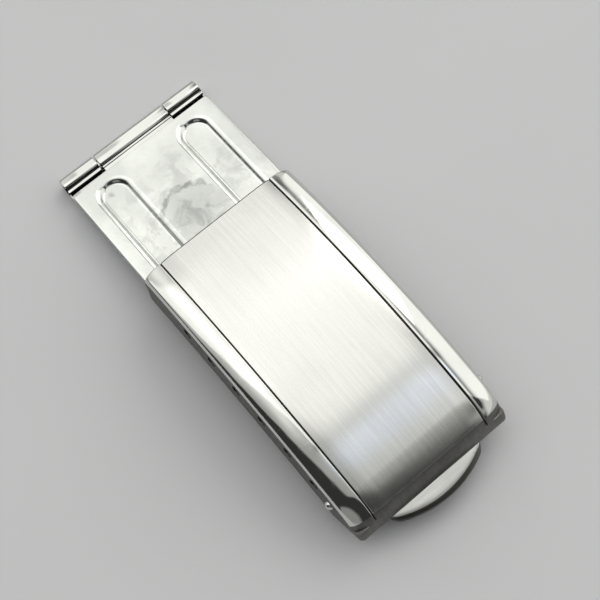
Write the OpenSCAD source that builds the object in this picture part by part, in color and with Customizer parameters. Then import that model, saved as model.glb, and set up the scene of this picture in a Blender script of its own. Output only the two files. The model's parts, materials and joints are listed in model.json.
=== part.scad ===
// Folding bracelet clasp for a wrist watch, shown closed.
// +X runs from the fold hinge to the finger lip, +Y is across, +Z is up.
// It rests on the fold knuckles and on the bracelet knuckles of the lower blade.

/* [Cover] */
// Outer radius of the long arch of the cover
arch_radius = 57; // [45:1:75]
// Distance from the cut edge to the highest point of the arch
crown_x = 7.5; // [4:0.5:12]
// Arc length of the long arch, from the cut edge to the front bend
arch_length = 26.5; // [22:0.5:32]
// Outer radius of the front bend
bend_radius = 4.6; // [4.4:0.1:6]
// Slope where the rails stop at the front rim
bend_end_angle = 64; // [55:1:70]
// Extra slope that the front rim covers
rim_angle = 16; // [10:1:20]
// How far the two front corners of the rim drop below its middle
rim_corner_drop = 0.25; // [0.15:0.05:0.5]
// How far each front corner is eased across
rim_corner_run = 0.4; // [0.2:0.05:0.6]
// Sheet thickness of the top of the cover
cover_t = 0.6; // [0.5:0.05:0.7]
// Full width of the cover at the outer edge of its rails
cover_w = 16.4; // [16:0.1:18]
// How far each side wall leans out at its foot
wall_lean = 0.3; // [0.1:0.05:0.5]
// Thickness of each side wall
wall_t = 0.5; // [0.4:0.05:0.6]
// Height of the cover from its top to the foot of the walls
cover_h = 3.6; // [3:0.1:3.6]
// Width of each rail, from the middle of its groove to the outer edge
rail_w = 2.04; // [1.8:0.02:2.4]
// Width of each groove
groove_w = 0.18; // [0.15:0.01:0.4]
// Depth of each groove
groove_depth = 0.2; // [0.1:0.05:0.3]
// Drop of the rail from the groove to the outer edge
rail_drop = 0.8; // [0.5:0.05:1]
// Depth of the inner corner of the shell below its top
corner_depth = 1.4; // [1.3:0.05:1.5]
// How far that inner corner is eased across
corner_run = 0.72; // [0.6:0.02:0.8]

/* [Lip] */
// How far the finger lip reaches past the front rim
lip_reach = 1.75; // [1.2:0.05:2.2]
// Width of the finger lip
lip_w = 10.2; // [8:0.2:11]
// Thickness of the finger lip
lip_t = 0.75; // [0.5:0.05:0.9]
// Radius of the curved outer edge of the lip
lip_edge_r = 10.3; // [9:0.1:14]
// Radius of the two outer corners of the lip
lip_corner_r = 0.8; // [0.5:0.1:1]
// Downward slope of the lip against the upper blade
lip_slope = 10; // [4:1:14]
// How far the top of the lip stands over the end of the rim
lip_rise = 0.15; // [0.1:0.05:0.25]

/* [Adjustment holes] */
// Number of holes in each side wall
hole_count = 6; // [4:1:6]
// Radius of each hole
hole_r = 0.5; // [0.4:0.05:0.55]
// Distance between holes along the wall
hole_pitch = 3.4; // [2.6:0.1:3.6]
// Distance from the hinge bar back to the nearest hole
hole_from_bar = 2.2; // [2.1:0.1:2.8]
// Depth of the hole centres below the top of the cover
hole_depth = 1.65; // [1.4:0.05:1.7]

/* [Blades] */
// Thickness of each blade
blade_t = 0.9; // [0.8:0.05:1]
// How far the exposed edges of the blades lie inside the outer edge of the cover
blade_inset = 0.2; // [0:0.05:0.6]
// Clearance between the covered part of the blades and each side wall
side_clear = 0.16; // [0.12:0.02:0.4]
// Length of the upper blade from the cut edge of the cover to the fold gap
blade_reach = 12.3; // [10:0.1:15]
// Clear height between the cover and the upper blade
channel_h = 2.1; // [2:0.05:2.4]
// Gap between the two blades
blade_gap = 0.1; // [0.05:0.01:0.15]
// Gap between the blade shoulders and the cut edge
shoulder_gap = 0.25; // [0.2:0.05:0.4]

/* [Pressed channels] */
// Width of each channel at the top face
channel_w = 3.2; // [2.4:0.1:3.6]
// Distance from the edge of the blade to the middle of each channel
channel_edge = 3.25; // [2.6:0.05:3.6]
// Depth of each channel
channel_depth = 0.5; // [0.3:0.05:0.55]
// Distance each channel wall leans in at its foot
channel_lean = 0.5; // [0.3:0.05:0.7]
// Distance from the cut edge out to the centre of the round end
channel_out = 9.6; // [8:0.1:10.5]
// Distance from the cut edge in to the centre of the hidden end
channel_in = 4.8; // [3:0.1:5.5]

/* [Fold hinge] */
// Gap between the plate ends and the facing knuckles
fold_gap = 0.45; // [0.25:0.05:0.8]
// Length of each outer knuckle
fold_side = 3.82; // [3.2:0.01:4.4]
// Slit between neighbouring knuckles
fold_slit = 0.15; // [0.1:0.01:0.25]
// Radius of the fold pin
fold_pin_r = 0.5; // [0.4:0.02:0.56]
// Running clearance of a pin in its knuckle
run_clear = 0.05; // [0.02:0.01:0.08]

/* [Hinge bar] */
// Depth of the bar axis below the top of the cover
bar_depth = 2.2; // [2.15:0.05:2.25]
// Arc length from the front bend back to the bar axis
bar_back = 0.2; // [0.1:0.1:1]
// Radius of the knuckle that holds the bar
bar_knuckle_r = 1.43; // [1.42:0.01:1.46]
// How far the sleeve ends lie inside the ends of that knuckle
sleeve_sink = 0.06; // [0.02:0.02:0.1]
// Outer radius of the bar sleeve
sleeve_r = 0.75; // [0.7:0.01:0.8]
// Bore radius of the bar sleeve
sleeve_bore_r = 0.5; // [0.48:0.01:0.55]
// How far each tip slides in before its collar stops on the sleeve
tip_travel = 1; // [0.95:0.01:1.1]
// Length of the crimped mouth at each end of the sleeve
crimp_len = 0.3; // [0.2:0.05:0.5]
// Radius of the tip that goes through the wall
tip_r = 0.46; // [0.4:0.01:0.5]
// How far the tip stands out of the wall
tip_out = 0.35; // [0.2:0.05:0.5]
// Radius of the tip collar
collar_r = 0.62; // [0.55:0.01:0.7]
// Length of the tip collar
collar_len = 0.18; // [0.12:0.02:0.3]
// Radius of the stem inside the sleeve
stem_r = 0.4; // [0.35:0.01:0.42]
// Sliding clearance of the stem in the crimp and of the head in the sleeve
slide_clear = 0.04; // [0.02:0.01:0.06]
// Length of the head on the stem
head_len = 0.4; // [0.3:0.05:0.6]
// How far the head sits inside the crimped mouth
head_in = 0.6; // [0.4:0.05:1]
// Wire radius of the bar spring
wire_r = 0.07; // [0.05:0.01:0.08]
// Turns of the bar spring
spring_turns = 16; // [12:1:20]
// Length of the closed coils at each end of the spring
seat_len = 0.21; // [0.16:0.01:0.3]

/* [Bracelet knuckles] */
// Radius of the bore for the bracelet pin
bracelet_bore_r = 0.5; // [0.4:0.02:0.56]
// Distance of the knuckle ends inside the covered width of the blade
bracelet_inset = 0.7; // [0.6:0.05:1.5]
// Length of each bracelet knuckle
bracelet_side = 3.4; // [2.5:0.1:4]
// Distance the bracelet axis lies beyond the hinge bar
bracelet_out = 1.9; // [1.6:0.1:2.3]
// Depth of the bracelet axis below the top of the lower blade
bracelet_drop = 0.7; // [0.5:0.05:0.9]

/* [Hidden] */
$fn = 64;
arc_fn = 180;
// How far a cutting shape reaches past the face it cuts
cut_over = 1;
// Overlap of the front bend with the arch, and how far the bend lies inside it there
seam_angle = 3;
seam_inset = 0.02;
// Angle by which the groove cutter starts before the cut edge, and stops short of the rim
groove_run_out = 1;
groove_stop = 0.6;
// Crown of each rail between the groove and the outer edge, as shares of its width and of its drop
rail_crown = [[0.45, 0.18], [0.8, 0.5]];
// Facets of the spring: slices in a turn and sides of the wire
turn_slices = 12;
wire_sides = 6;
deg_per_rad = 180 / PI;
steel_bright = [0.80, 0.80, 0.79];
steel_satin = [0.72, 0.72, 0.71];

// Widths that follow from the width of the cover
groove_y = cover_w / 2 - rail_w;
lean_span = cover_h - rail_drop;
wall_in_foot = cover_w / 2 + wall_lean - wall_t;
wall_in_corner = wall_in_foot - wall_lean * (cover_h - corner_depth) / lean_span;
blade_w = cover_w - 2 * blade_inset;
tongue_w = 2 * (wall_in_corner - side_clear);
channel_y = blade_w / 2 - channel_edge;
fold_outer = blade_w / 2 - fold_side;
fold_mid = fold_outer - fold_slit;
bracelet_half = tongue_w / 2 - bracelet_inset;
bracelet_gap_half = bracelet_half - bracelet_side;

// Centres of the arch and of the front bend, with the crown over the flat blade at z = 0
crown_z = cover_t + channel_h;
arch_cx = crown_x;
arch_cz = crown_z - arch_radius;
a_cut = -asin(crown_x / arch_radius);
a_bend = a_cut + arch_length / arch_radius * deg_per_rad;
bend_cx = arch_cx + (arch_radius - bend_radius) * sin(a_bend);
bend_cz = arch_cz + (arch_radius - bend_radius) * cos(a_bend);
a_rim = bend_end_angle + rim_angle;

// Radii of the blade faces about the centre of the arch
upper_top_r = arch_radius - crown_z;
upper_low_r = upper_top_r - blade_t;
lower_top_r = upper_low_r - blade_gap;
lower_low_r = lower_top_r - blade_t;

// Fold hinge
knuckle_r = blade_t + blade_gap / 2;
fold_x = -blade_reach - fold_gap - knuckle_r;
fold_z = -knuckle_r;

// Hinge bar
bar_arc_r = arch_radius - bar_depth;
a_bar = a_bend - bar_back / bar_arc_r * deg_per_rad;
bar_x = arch_cx + bar_arc_r * sin(a_bar);
bar_z = arch_cz + bar_arc_r * cos(a_bar);
wall_out_at_bar = cover_w / 2 + wall_lean * (bar_depth - rail_drop) / lean_span;
wall_in_at_bar = wall_out_at_bar - wall_t;
collar_end = wall_in_at_bar - wall_lean * collar_r / lean_span - run_clear;
collar_start = collar_end - collar_len;
tip_end = wall_out_at_bar + tip_out;
sleeve_half = collar_start - tip_travel - run_clear;
bar_knuckle_half = sleeve_half + sleeve_sink;
bar_hole_r = tip_r + run_clear;
crimp_r = stem_r + slide_clear;
head_r = sleeve_bore_r - slide_clear;
head_outer = sleeve_half - crimp_len - head_in;
head_inner = head_outer - head_len;
coil_r = head_r - wire_r;

// Bracelet knuckles, on the arc of the lower blade
bracelet_arc_r = lower_top_r - bracelet_drop;
bracelet_x = bar_x + bracelet_out;
a_bracelet = asin((bracelet_x - arch_cx) / bracelet_arc_r);
bracelet_z = arch_cz + bracelet_arc_r * cos(a_bracelet);
a_lower_end = asin((bracelet_x - arch_cx) / lower_low_r);

// Adjustment holes
hole_arc_r = arch_radius - hole_depth;
a_hole_last = a_bar - hole_from_bar / hole_arc_r * deg_per_rad;
a_hole_step = hole_pitch / hole_arc_r * deg_per_rad;

// Finger lip
rim_out_x = bend_cx + bend_radius * sin(a_rim);
rim_out_z = bend_cz + bend_radius * cos(a_rim);
rim_in_x = bend_cx + (bend_radius - cover_t) * sin(a_rim);
lip_top_z = rim_out_z + lip_rise;
lip_len = rim_out_x - rim_in_x + lip_reach;
lip_edge_drop = lip_edge_r - sqrt(pow(lip_edge_r, 2) - pow(lip_w / 2 - lip_corner_r, 2));

// Resting tilt and place in the shared frame
tilt = atan((fold_z - bracelet_z) / (bracelet_x - fold_x));
lip_tip_x = rim_in_x + lip_len * cos(lip_slope);
lip_tip_z = lip_top_z - lip_len * sin(lip_slope);
row_x_min = fold_x * cos(tilt) - fold_z * sin(tilt) - knuckle_r;
row_x_max = lip_tip_x * cos(tilt) - lip_tip_z * sin(tilt);
row_z_min = fold_x * sin(tilt) + fold_z * cos(tilt) - knuckle_r;
shift_x = -(row_x_min + row_x_max) / 2;
shift_z = -row_z_min;

module placed() {
  translate([shift_x, 0, shift_z]) rotate([0, -tilt, 0]) children();
}

// Turns a flat outline into an arc about a cross axis at (cx, cz), angles measured from +Z
module arc_sweep(cx, cz, a0, a1) {
  translate([cx, 0, cz])
    rotate([-90, 0, 0])
      rotate([0, 0, a0 - 90])
        rotate_extrude(angle = a1 - a0, $fn = arc_fn)
          children();
}

module cross_cylinder(x, z, y0, y1, r) {
  translate([x, y0, z]) rotate([-90, 0, 0]) cylinder(h = y1 - y0, r = r);
}

module block(x0, x1, half_w, z0, z1) {
  translate([x0, -half_w, z0]) cube([x1 - x0, 2 * half_w, z1 - z0]);
}

// Half outline of the shell, as depth below the top and distance from the mid plane.
// The inset e keeps the front bend just inside the arch where the two overlap.
function shell_half(e) = concat(
  [[-e, groove_y]],
  [for (knee = rail_crown) [-knee[1] * rail_drop - e, groove_y + knee[0] * rail_w]],
  [
    [-rail_drop - e, cover_w / 2 - e],
    [-cover_h + e, cover_w / 2 + wall_lean - e],
    [-cover_h + e, wall_in_foot + e],
    [-corner_depth, wall_in_corner + e],
    [-cover_t + e, wall_in_corner - corner_run + e]
  ]
);

// Half outline of the front rim, which stands square at its corners where the rails stop
function rim_half(e) = concat(
  [[-e, cover_w / 2 - rim_corner_run]],
  [[-rim_corner_drop - e, cover_w / 2 - e]],
  [for (i = [len(rail_crown) + 2 : len(shell_half(e)) - 1]) shell_half(e)[i]]
);

function mirrored(pts) = [for (i = [len(pts) - 1 : -1 : 0]) [pts[i][0], -pts[i][1]]];

module section(r, half_outline) {
  polygon([for (p = concat(half_outline, mirrored(half_outline))) [r + p[0], p[1]]]);
}

module groove_section(r) {
  for (side = [-1, 1])
    translate([r - groove_depth, side * groove_y - groove_w / 2])
      square([groove_depth + cut_over, groove_w]);
}

module lip() {
  translate([rim_in_x, 0, lip_top_z]) rotate([0, lip_slope, 0])
    intersection() {
      translate([lip_len - lip_edge_r, 0, -lip_t]) cylinder(h = lip_t, r = lip_edge_r, $fn = arc_fn);
      union() {
        block(0, lip_len, lip_w / 2 - lip_corner_r, -lip_t, 0);
        block(0, lip_len - lip_edge_drop - lip_corner_r, lip_w / 2, -lip_t, 0);
        for (side = [-1, 1])
          translate([lip_len - lip_edge_drop - lip_corner_r, side * (lip_w / 2 - lip_corner_r), -lip_t])
            cylinder(h = lip_t, r = lip_corner_r);
      }
    }
}

module cover() {
  color(steel_satin) placed() difference() {
    union() {
      arc_sweep(arch_cx, arch_cz, a_cut, a_bend) section(arch_radius, shell_half(0));
      arc_sweep(bend_cx, bend_cz, a_bend - seam_angle, bend_end_angle + seam_angle)
        section(bend_radius, shell_half(seam_inset));
      arc_sweep(bend_cx, bend_cz, bend_end_angle, a_rim) section(bend_radius, rim_half(2 * seam_inset));
      lip();
    }
    arc_sweep(arch_cx, arch_cz, a_cut - groove_run_out, a_bend) groove_section(arch_radius);
    arc_sweep(bend_cx, bend_cz, a_bend - seam_angle, bend_end_angle - groove_stop)
      groove_section(bend_radius - seam_inset);
    cross_cylinder(bar_x, bar_z, -cover_w, cover_w, bar_hole_r);
    for (i = [0 : hole_count - 1])
      cross_cylinder(arch_cx + hole_arc_r * sin(a_hole_last - i * a_hole_step),
                     arch_cz + hole_arc_r * cos(a_hole_last - i * a_hole_step),
                     -cover_w, cover_w, hole_r);
  }
}

module pressed_channel(y) {
  half = channel_w / 2;
  foot = half - channel_lean;
  lift = channel_lean / channel_depth * cut_over;
  translate([0, y, 0]) {
    translate([channel_in, 0, 0]) rotate([90, 0, -90])
      linear_extrude(height = channel_in + channel_out)
        polygon([[-foot, -channel_depth], [foot, -channel_depth],
                 [half + lift, cut_over], [-half - lift, cut_over]]);
    for (x = [-channel_out, channel_in])
      translate([x, 0, -channel_depth])
        cylinder(h = channel_depth + cut_over, r1 = foot, r2 = half + lift);
  }
}

module upper_blade() {
  color(steel_bright) placed() difference() {
    union() {
      block(-blade_reach, -shoulder_gap, blade_w / 2, -blade_t, 0);
      block(-shoulder_gap, arch_cx, tongue_w / 2, -blade_t, 0);
      block(fold_x, -blade_reach, fold_mid, -blade_t, 0);
      cross_cylinder(fold_x, fold_z, -fold_mid, fold_mid, knuckle_r);
      arc_sweep(arch_cx, arch_cz, 0, a_bar)
        translate([upper_low_r, -tongue_w / 2]) square([blade_t, tongue_w]);
      cross_cylinder(bar_x, bar_z, -bar_knuckle_half, bar_knuckle_half, bar_knuckle_r);
    }
    for (side = [-1, 1]) pressed_channel(side * channel_y);
    cross_cylinder(fold_x, fold_z, -blade_w, blade_w, fold_pin_r + run_clear);
    cross_cylinder(bar_x, bar_z, -blade_w, blade_w, sleeve_r + run_clear);
  }
}

module lower_blade() {
  color(steel_bright) placed() difference() {
    union() {
      block(-blade_reach, -shoulder_gap, blade_w / 2, fold_z - knuckle_r, -blade_t - blade_gap);
      block(-shoulder_gap, arch_cx, tongue_w / 2, fold_z - knuckle_r, -blade_t - blade_gap);
      for (side = [-1, 1]) {
        translate([fold_x, side > 0 ? fold_outer : -blade_w / 2, fold_z - knuckle_r])
          cube([-blade_reach - fold_x, blade_w / 2 - fold_outer, blade_t]);
        cross_cylinder(fold_x, fold_z, side > 0 ? fold_outer : -blade_w / 2,
                       side > 0 ? blade_w / 2 : -fold_outer, knuckle_r);
      }
      arc_sweep(arch_cx, arch_cz, 0, a_lower_end)
        translate([lower_low_r, -bracelet_half]) square([blade_t, 2 * bracelet_half]);
      cross_cylinder(bracelet_x, bracelet_z, -bracelet_half, bracelet_half, knuckle_r);
    }
    cross_cylinder(fold_x, fold_z, -blade_w, blade_w, fold_pin_r);
    cross_cylinder(bracelet_x, bracelet_z, -blade_w, blade_w, bracelet_bore_r);
    block(bracelet_x - knuckle_r - blade_t, bracelet_x + knuckle_r + cut_over, bracelet_gap_half,
          bracelet_z - knuckle_r - cut_over, bracelet_z + knuckle_r + cut_over);
  }
}

module fold_pin() {
  color(steel_bright) placed()
    cross_cylinder(fold_x, fold_z, -blade_w / 2 + run_clear, blade_w / 2 - run_clear, fold_pin_r);
}

module hinge_bar_sleeve() {
  color(steel_bright) placed() difference() {
    cross_cylinder(bar_x, bar_z, -sleeve_half, sleeve_half, sleeve_r);
    cross_cylinder(bar_x, bar_z, -sleeve_half + crimp_len, sleeve_half - crimp_len, sleeve_bore_r);
    cross_cylinder(bar_x, bar_z, -blade_w, blade_w, crimp_r);
  }
}

module hinge_bar_spring() {
  color(steel_satin) placed() {
    for (side = [-1, 1])
      difference() {
        cross_cylinder(bar_x, bar_z, side > 0 ? head_inner - seat_len : -head_inner,
                       side > 0 ? head_inner : seat_len - head_inner, head_r);
        cross_cylinder(bar_x, bar_z, -blade_w, blade_w, head_r - 2 * wire_r);
      }
    translate([bar_x, -head_inner + wire_r, bar_z]) rotate([-90, 0, 0])
      linear_extrude(height = 2 * (head_inner - wire_r), twist = -360 * spring_turns,
                     slices = turn_slices * spring_turns, $fn = wire_sides)
        translate([coil_r, 0]) circle(r = wire_r);
  }
}

module hinge_tip(side) {
  color(steel_bright) placed() translate([bar_x, 0, bar_z]) rotate([-90 * side, 0, 0]) {
    translate([0, 0, head_inner]) cylinder(h = head_len, r = head_r);
    translate([0, 0, head_inner]) cylinder(h = collar_end - head_inner, r = stem_r);
    translate([0, 0, collar_start]) cylinder(h = collar_len, r = collar_r);
    translate([0, 0, collar_start]) cylinder(h = tip_end - tip_r - collar_start, r = tip_r);
    translate([0, 0, tip_end - tip_r]) sphere(r = tip_r);
  }
}

module hinge_bar_tip_left() {
  hinge_tip(1);
}

module hinge_bar_tip_right() {
  hinge_tip(-1);
}

cover();
upper_blade();
lower_blade();
fold_pin();
hinge_bar_sleeve();
hinge_bar_spring();
hinge_bar_tip_left();
hinge_bar_tip_right();
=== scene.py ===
"""Looks of a folding bracelet clasp, built around its packed construction model."""
import json
import logging
import math
from dataclasses import dataclass, field, replace
from enum import IntEnum
from typing import Callable, Optional, Sequence, Union

import bmesh
import bpy
from mathutils import Matrix, Vector


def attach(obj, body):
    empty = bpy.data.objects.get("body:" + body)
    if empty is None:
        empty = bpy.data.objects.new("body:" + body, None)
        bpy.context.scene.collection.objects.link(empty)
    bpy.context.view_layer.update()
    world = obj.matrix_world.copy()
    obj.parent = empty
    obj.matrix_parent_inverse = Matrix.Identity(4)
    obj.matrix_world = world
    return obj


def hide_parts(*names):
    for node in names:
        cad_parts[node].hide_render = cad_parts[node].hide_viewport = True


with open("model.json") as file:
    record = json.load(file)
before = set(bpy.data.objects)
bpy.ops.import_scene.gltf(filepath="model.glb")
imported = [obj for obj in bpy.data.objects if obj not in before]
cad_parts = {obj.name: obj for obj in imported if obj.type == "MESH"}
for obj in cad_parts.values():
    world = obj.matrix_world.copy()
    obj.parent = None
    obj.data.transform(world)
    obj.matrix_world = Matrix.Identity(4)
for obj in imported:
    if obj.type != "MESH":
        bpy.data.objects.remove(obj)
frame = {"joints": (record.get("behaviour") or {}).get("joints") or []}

log = logging.getLogger("clasp")

MM = 0.001
# Surface map of a piece: how far along its strip a point lies, and how far round its outline
PATH_MAP = "path"
# Faces that meet at more than this angle keep a sharp edge
SHARP_EDGE = math.radians(32)
# Points closer than the first distance are one point, and edges under the second are none
SAME_POINT = 2e-7
NO_EDGE = 1e-8
# Most of a side that one eased corner takes, and most that the point which keeps it flat takes
EASE_SHARE = 0.45
GUARD_SHARE = 0.05
# Share of a turn that lays the spread of light across the lines of a brushed face
ACROSS_LINES = 0.25
# Kinds of node that are used most, and the setting that gives a range soft ends
MATH = "ShaderNodeMath"
RANGE = "ShaderNodeMapRange"
NOISE = "ShaderNodeTexNoise"
MAPPING = "ShaderNodeMapping"
SOFT = {"interpolation_type": "SMOOTHSTEP"}
Tree = bpy.types.NodeTree
Node = bpy.types.Node
Socket = bpy.types.NodeSocket
Material = bpy.types.Material
Object = bpy.types.Object
Point = tuple[float, float, float]
Band = tuple[float, float]
Value = Union[float, int, str, bool, tuple, Socket, Node]


class Zone(IntEnum):
    """Surfaces of a piece that are finished in different ways."""

    PANEL = 0
    GROOVE = 1
    RAIL = 2
    WALL = 3
    INSIDE = 4
    RIM = 5


@dataclass(frozen=True)
class Corner:
    """A corner of an outline: how deep it lies, how far across, and how it goes on from there."""

    depth: float
    across: float
    ease: float = 0.0
    zone: IntEnum = Zone.WALL


@dataclass(frozen=True)
class Station:
    """A place along a formed strip: a point of its outer face and how far its normal leans to +X."""

    x: float
    z: float
    lean: float
    along: float

    def point(self, depth: float, across: float) -> Point:
        """Returns the point at a depth below the outer face and a distance from the mid plane."""
        return (self.x - depth * math.sin(self.lean), across, self.z - depth * math.cos(self.lean))


def arc_stations(centre: tuple[float, float], radius: float, first: float, last: float,
                 steps: int, along: float) -> list[Station]:
    """Places stations on an arc.

    Args:
        centre: X and Z of the middle of the arc.
        radius: Radius of the outer face.
        first: Angle of the first station from +Z, in radians.
        last: Angle of the last station.
        steps: Number of equal steps.
        along: Length of strip before the first station.

    Returns:
        The stations from first to last.
    """
    angles = [first + (last - first) * i / steps for i in range(steps + 1)]
    return [Station(centre[0] + radius * math.sin(a), centre[1] + radius * math.cos(a), a,
                    along + radius * (a - first)) for a in angles]


def flat_stations(places: Sequence[float]) -> list[Station]:
    """Returns level stations at z = 0, one at each x."""
    return [Station(x, 0.0, 0.0, x) for x in places]


def even(first: float, last: float, steps: int) -> list[float]:
    """Returns steps + 1 numbers evenly spaced from first to last."""
    return [first + (last - first) * i / steps for i in range(steps + 1)]


def soften(corners: Sequence[Corner], segments: int = 4, guard: float = 0.03) -> list[Corner]:
    """Eases the corners of a closed outline.

    Args:
        corners: The outline, each corner with the distance at which its easing starts.
        segments: Segments of each eased corner.
        guard: Distance of the extra points that keep the flats beside it flat.

    Returns:
        The outline's points, each with the zone of the segment that starts there.
    """
    done: list[Corner] = []
    for i, here in enumerate(corners):
        before, after = corners[i - 1], corners[(i + 1) % len(corners)]
        if here.ease <= 0:
            done.append(here)
            continue
        middle = Vector((here.depth, here.across))
        back = Vector((before.depth, before.across)) - middle
        ahead = Vector((after.depth, after.across)) - middle
        reach = min(here.ease, EASE_SHARE * back.length, EASE_SHARE * ahead.length)
        start, end = middle + back.normalized() * reach, middle + ahead.normalized() * reach
        outer = start + back.normalized() * min(guard, GUARD_SHARE * back.length)
        done.append(Corner(outer[0], outer[1], 0.0, before.zone))
        for k in range(segments + 1):
            t = k / segments
            p = start * (1 - t) ** 2 + middle * 2 * t * (1 - t) + end * t ** 2
            done.append(Corner(p[0], p[1], 0.0, before.zone if t < 0.5 else here.zone))
        outer = end + ahead.normalized() * min(guard, GUARD_SHARE * ahead.length)
        done.append(Corner(outer[0], outer[1], 0.0, here.zone))
    return done


def smooth(t: float) -> float:
    """Returns a share held between 0 and 1 and eased at both ends."""
    t = min(max(t, 0.0), 1.0)
    return t * t * (3 - 2 * t)


def rounding(radius: float, run: float) -> float:
    """Returns how far a rounded edge of a radius still lies back at a run from its tip."""
    lack = max(radius - run, 0.0)
    return radius - math.sqrt(max(radius ** 2 - lack ** 2, 0.0))


def mirrored(half: Sequence[Corner]) -> list[Corner]:
    """Closes a half outline.

    Args:
        half: Corners from the middle of the top to the middle of the underside.

    Returns:
        The whole outline, starting in the middle of the underside.
    """
    left = [Corner(half[i].depth, -half[i].across, half[i].ease, half[i - 1].zone)
            for i in range(len(half) - 1, 0, -1)]
    return left + list(half[:-1])


@dataclass
class Draft:
    """Collects the skins of a piece in the blade's own axes, in millimetres."""

    points: list[Point] = field(default_factory=list)
    faces: list[tuple[int, ...]] = field(default_factory=list)
    zones: list[int] = field(default_factory=list)
    maps: list[tuple[tuple[float, float], ...]] = field(default_factory=list)

    def add_skin(self, rows: Sequence[Sequence[Point]], along: Sequence[float],
                 zone_at: Callable[[int, int], int], joined: bool = False) -> None:
        """Adds a closed skin through rows of points.

        Args:
            rows: Closed rings with as many points each.
            along: Length at each ring, for the surface map.
            zone_at: Zone of the face between ring i and the next, at point j.
            joined: True if the last ring meets the first, as round a wheel.
        """
        start, count = len(self.points), len(rows[0])
        for row in rows:
            self.points.extend(row)
        across = []
        for row in rows:
            total, line = 0.0, [0.0]
            for j in range(count):
                total += (Vector(row[(j + 1) % count]) - Vector(row[j])).length
                line.append(total)
            across.append(line)
        for i in range(len(rows) if joined else len(rows) - 1):
            n = (i + 1) % len(rows)
            for j in range(count):
                k = (j + 1) % count
                self.faces.append((start + i * count + j, start + i * count + k,
                                   start + n * count + k, start + n * count + j))
                self.zones.append(int(zone_at(i, j)))
                self.maps.append(((along[i], across[i][j]), (along[i], across[i][j + 1]),
                                  (along[n], across[i][j + 1]), (along[n], across[i][j])))
        if joined:
            return
        for i in (0, len(rows) - 1):
            self.faces.append(tuple(start + i * count + j for j in range(count)))
            self.zones.append(int(zone_at(min(i, len(rows) - 2), 0)))
            self.maps.append(tuple((along[i], across[i][j]) for j in range(count)))

    def finish(self, name: str, place: "Placement", materials: Sequence[Material]) -> Object:
        """Makes the object.

        Args:
            name: Name of the piece.
            place: Carries the points into the shared frame.
            materials: One material for each zone that the faces name.

        Returns:
            The object, at the origin, with its faces pointing outwards.
        """
        mesh = bpy.data.meshes.new(name)
        mesh.from_pydata([place.carry(p) for p in self.points], [], self.faces)
        layer = mesh.uv_layers.new(name=PATH_MAP)
        flat = [u for face in self.maps for u in face]
        layer.data.foreach_set("uv", [c for u in flat for c in u])
        for material in materials:
            mesh.materials.append(material)
        mesh.polygons.foreach_set("material_index", self.zones)
        outward(mesh)
        return shown(name, mesh)


def shown(name: str, data: bpy.types.ID) -> Object:
    """Makes an object and shows it in the scene.

    Args:
        name: Its name.
        data: Its mesh, lamp or camera.

    Returns:
        The object, at the origin.
    """
    thing = bpy.data.objects.new(name, data)
    bpy.context.scene.collection.objects.link(thing)
    return thing


def outward(mesh: bpy.types.Mesh) -> None:
    """Merges doubled points, points all faces outwards and smooths all but the sharp edges.

    Args:
        mesh: The mesh, which is changed in place.
    """
    work = bmesh.new()
    work.from_mesh(mesh)
    bmesh.ops.remove_doubles(work, verts=work.verts, dist=SAME_POINT)
    bmesh.ops.dissolve_degenerate(work, edges=work.edges, dist=NO_EDGE)
    bmesh.ops.recalc_face_normals(work, faces=work.faces)
    work.to_mesh(mesh)
    work.free()
    mesh.shade_smooth()
    mesh.set_sharp_from_angle(angle=SHARP_EDGE)


@dataclass(frozen=True)
class Placement:
    """Carries points measured along the upper blade, in millimetres, into the shared frame."""

    matrix: Matrix

    @classmethod
    def from_hinges(cls, fold: tuple[float, float], bar: tuple[float, float]) -> "Placement":
        """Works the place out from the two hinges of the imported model.

        Args:
            fold: X and Z of the fold hinge along the blade.
            bar: X and Z of the hinge bar along the blade.

        Returns:
            The placement under which both hinges lie where the joints are.
        """
        joints = {j["name"]: j for j in frame["joints"]}
        packed_fold = Vector(joints["fold_hinge"]["pos_m"])
        packed_bar = Vector(joints["cover_hinge"]["pos_m"])
        run = packed_bar - packed_fold
        tilt = math.atan2(run.z, run.x) - math.atan2(bar[1] - fold[1], bar[0] - fold[0])
        turn = Matrix.Rotation(-tilt, 4, "Y") @ Matrix.Scale(MM, 4)
        shift = packed_fold - turn @ Vector((fold[0], 0.0, fold[1]))
        return cls(Matrix.Translation(shift) @ turn)

    def carry(self, point: Sequence[float]) -> Vector:
        """Returns a point of the blade's axes in the shared frame."""
        return self.matrix @ Vector(point)


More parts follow.
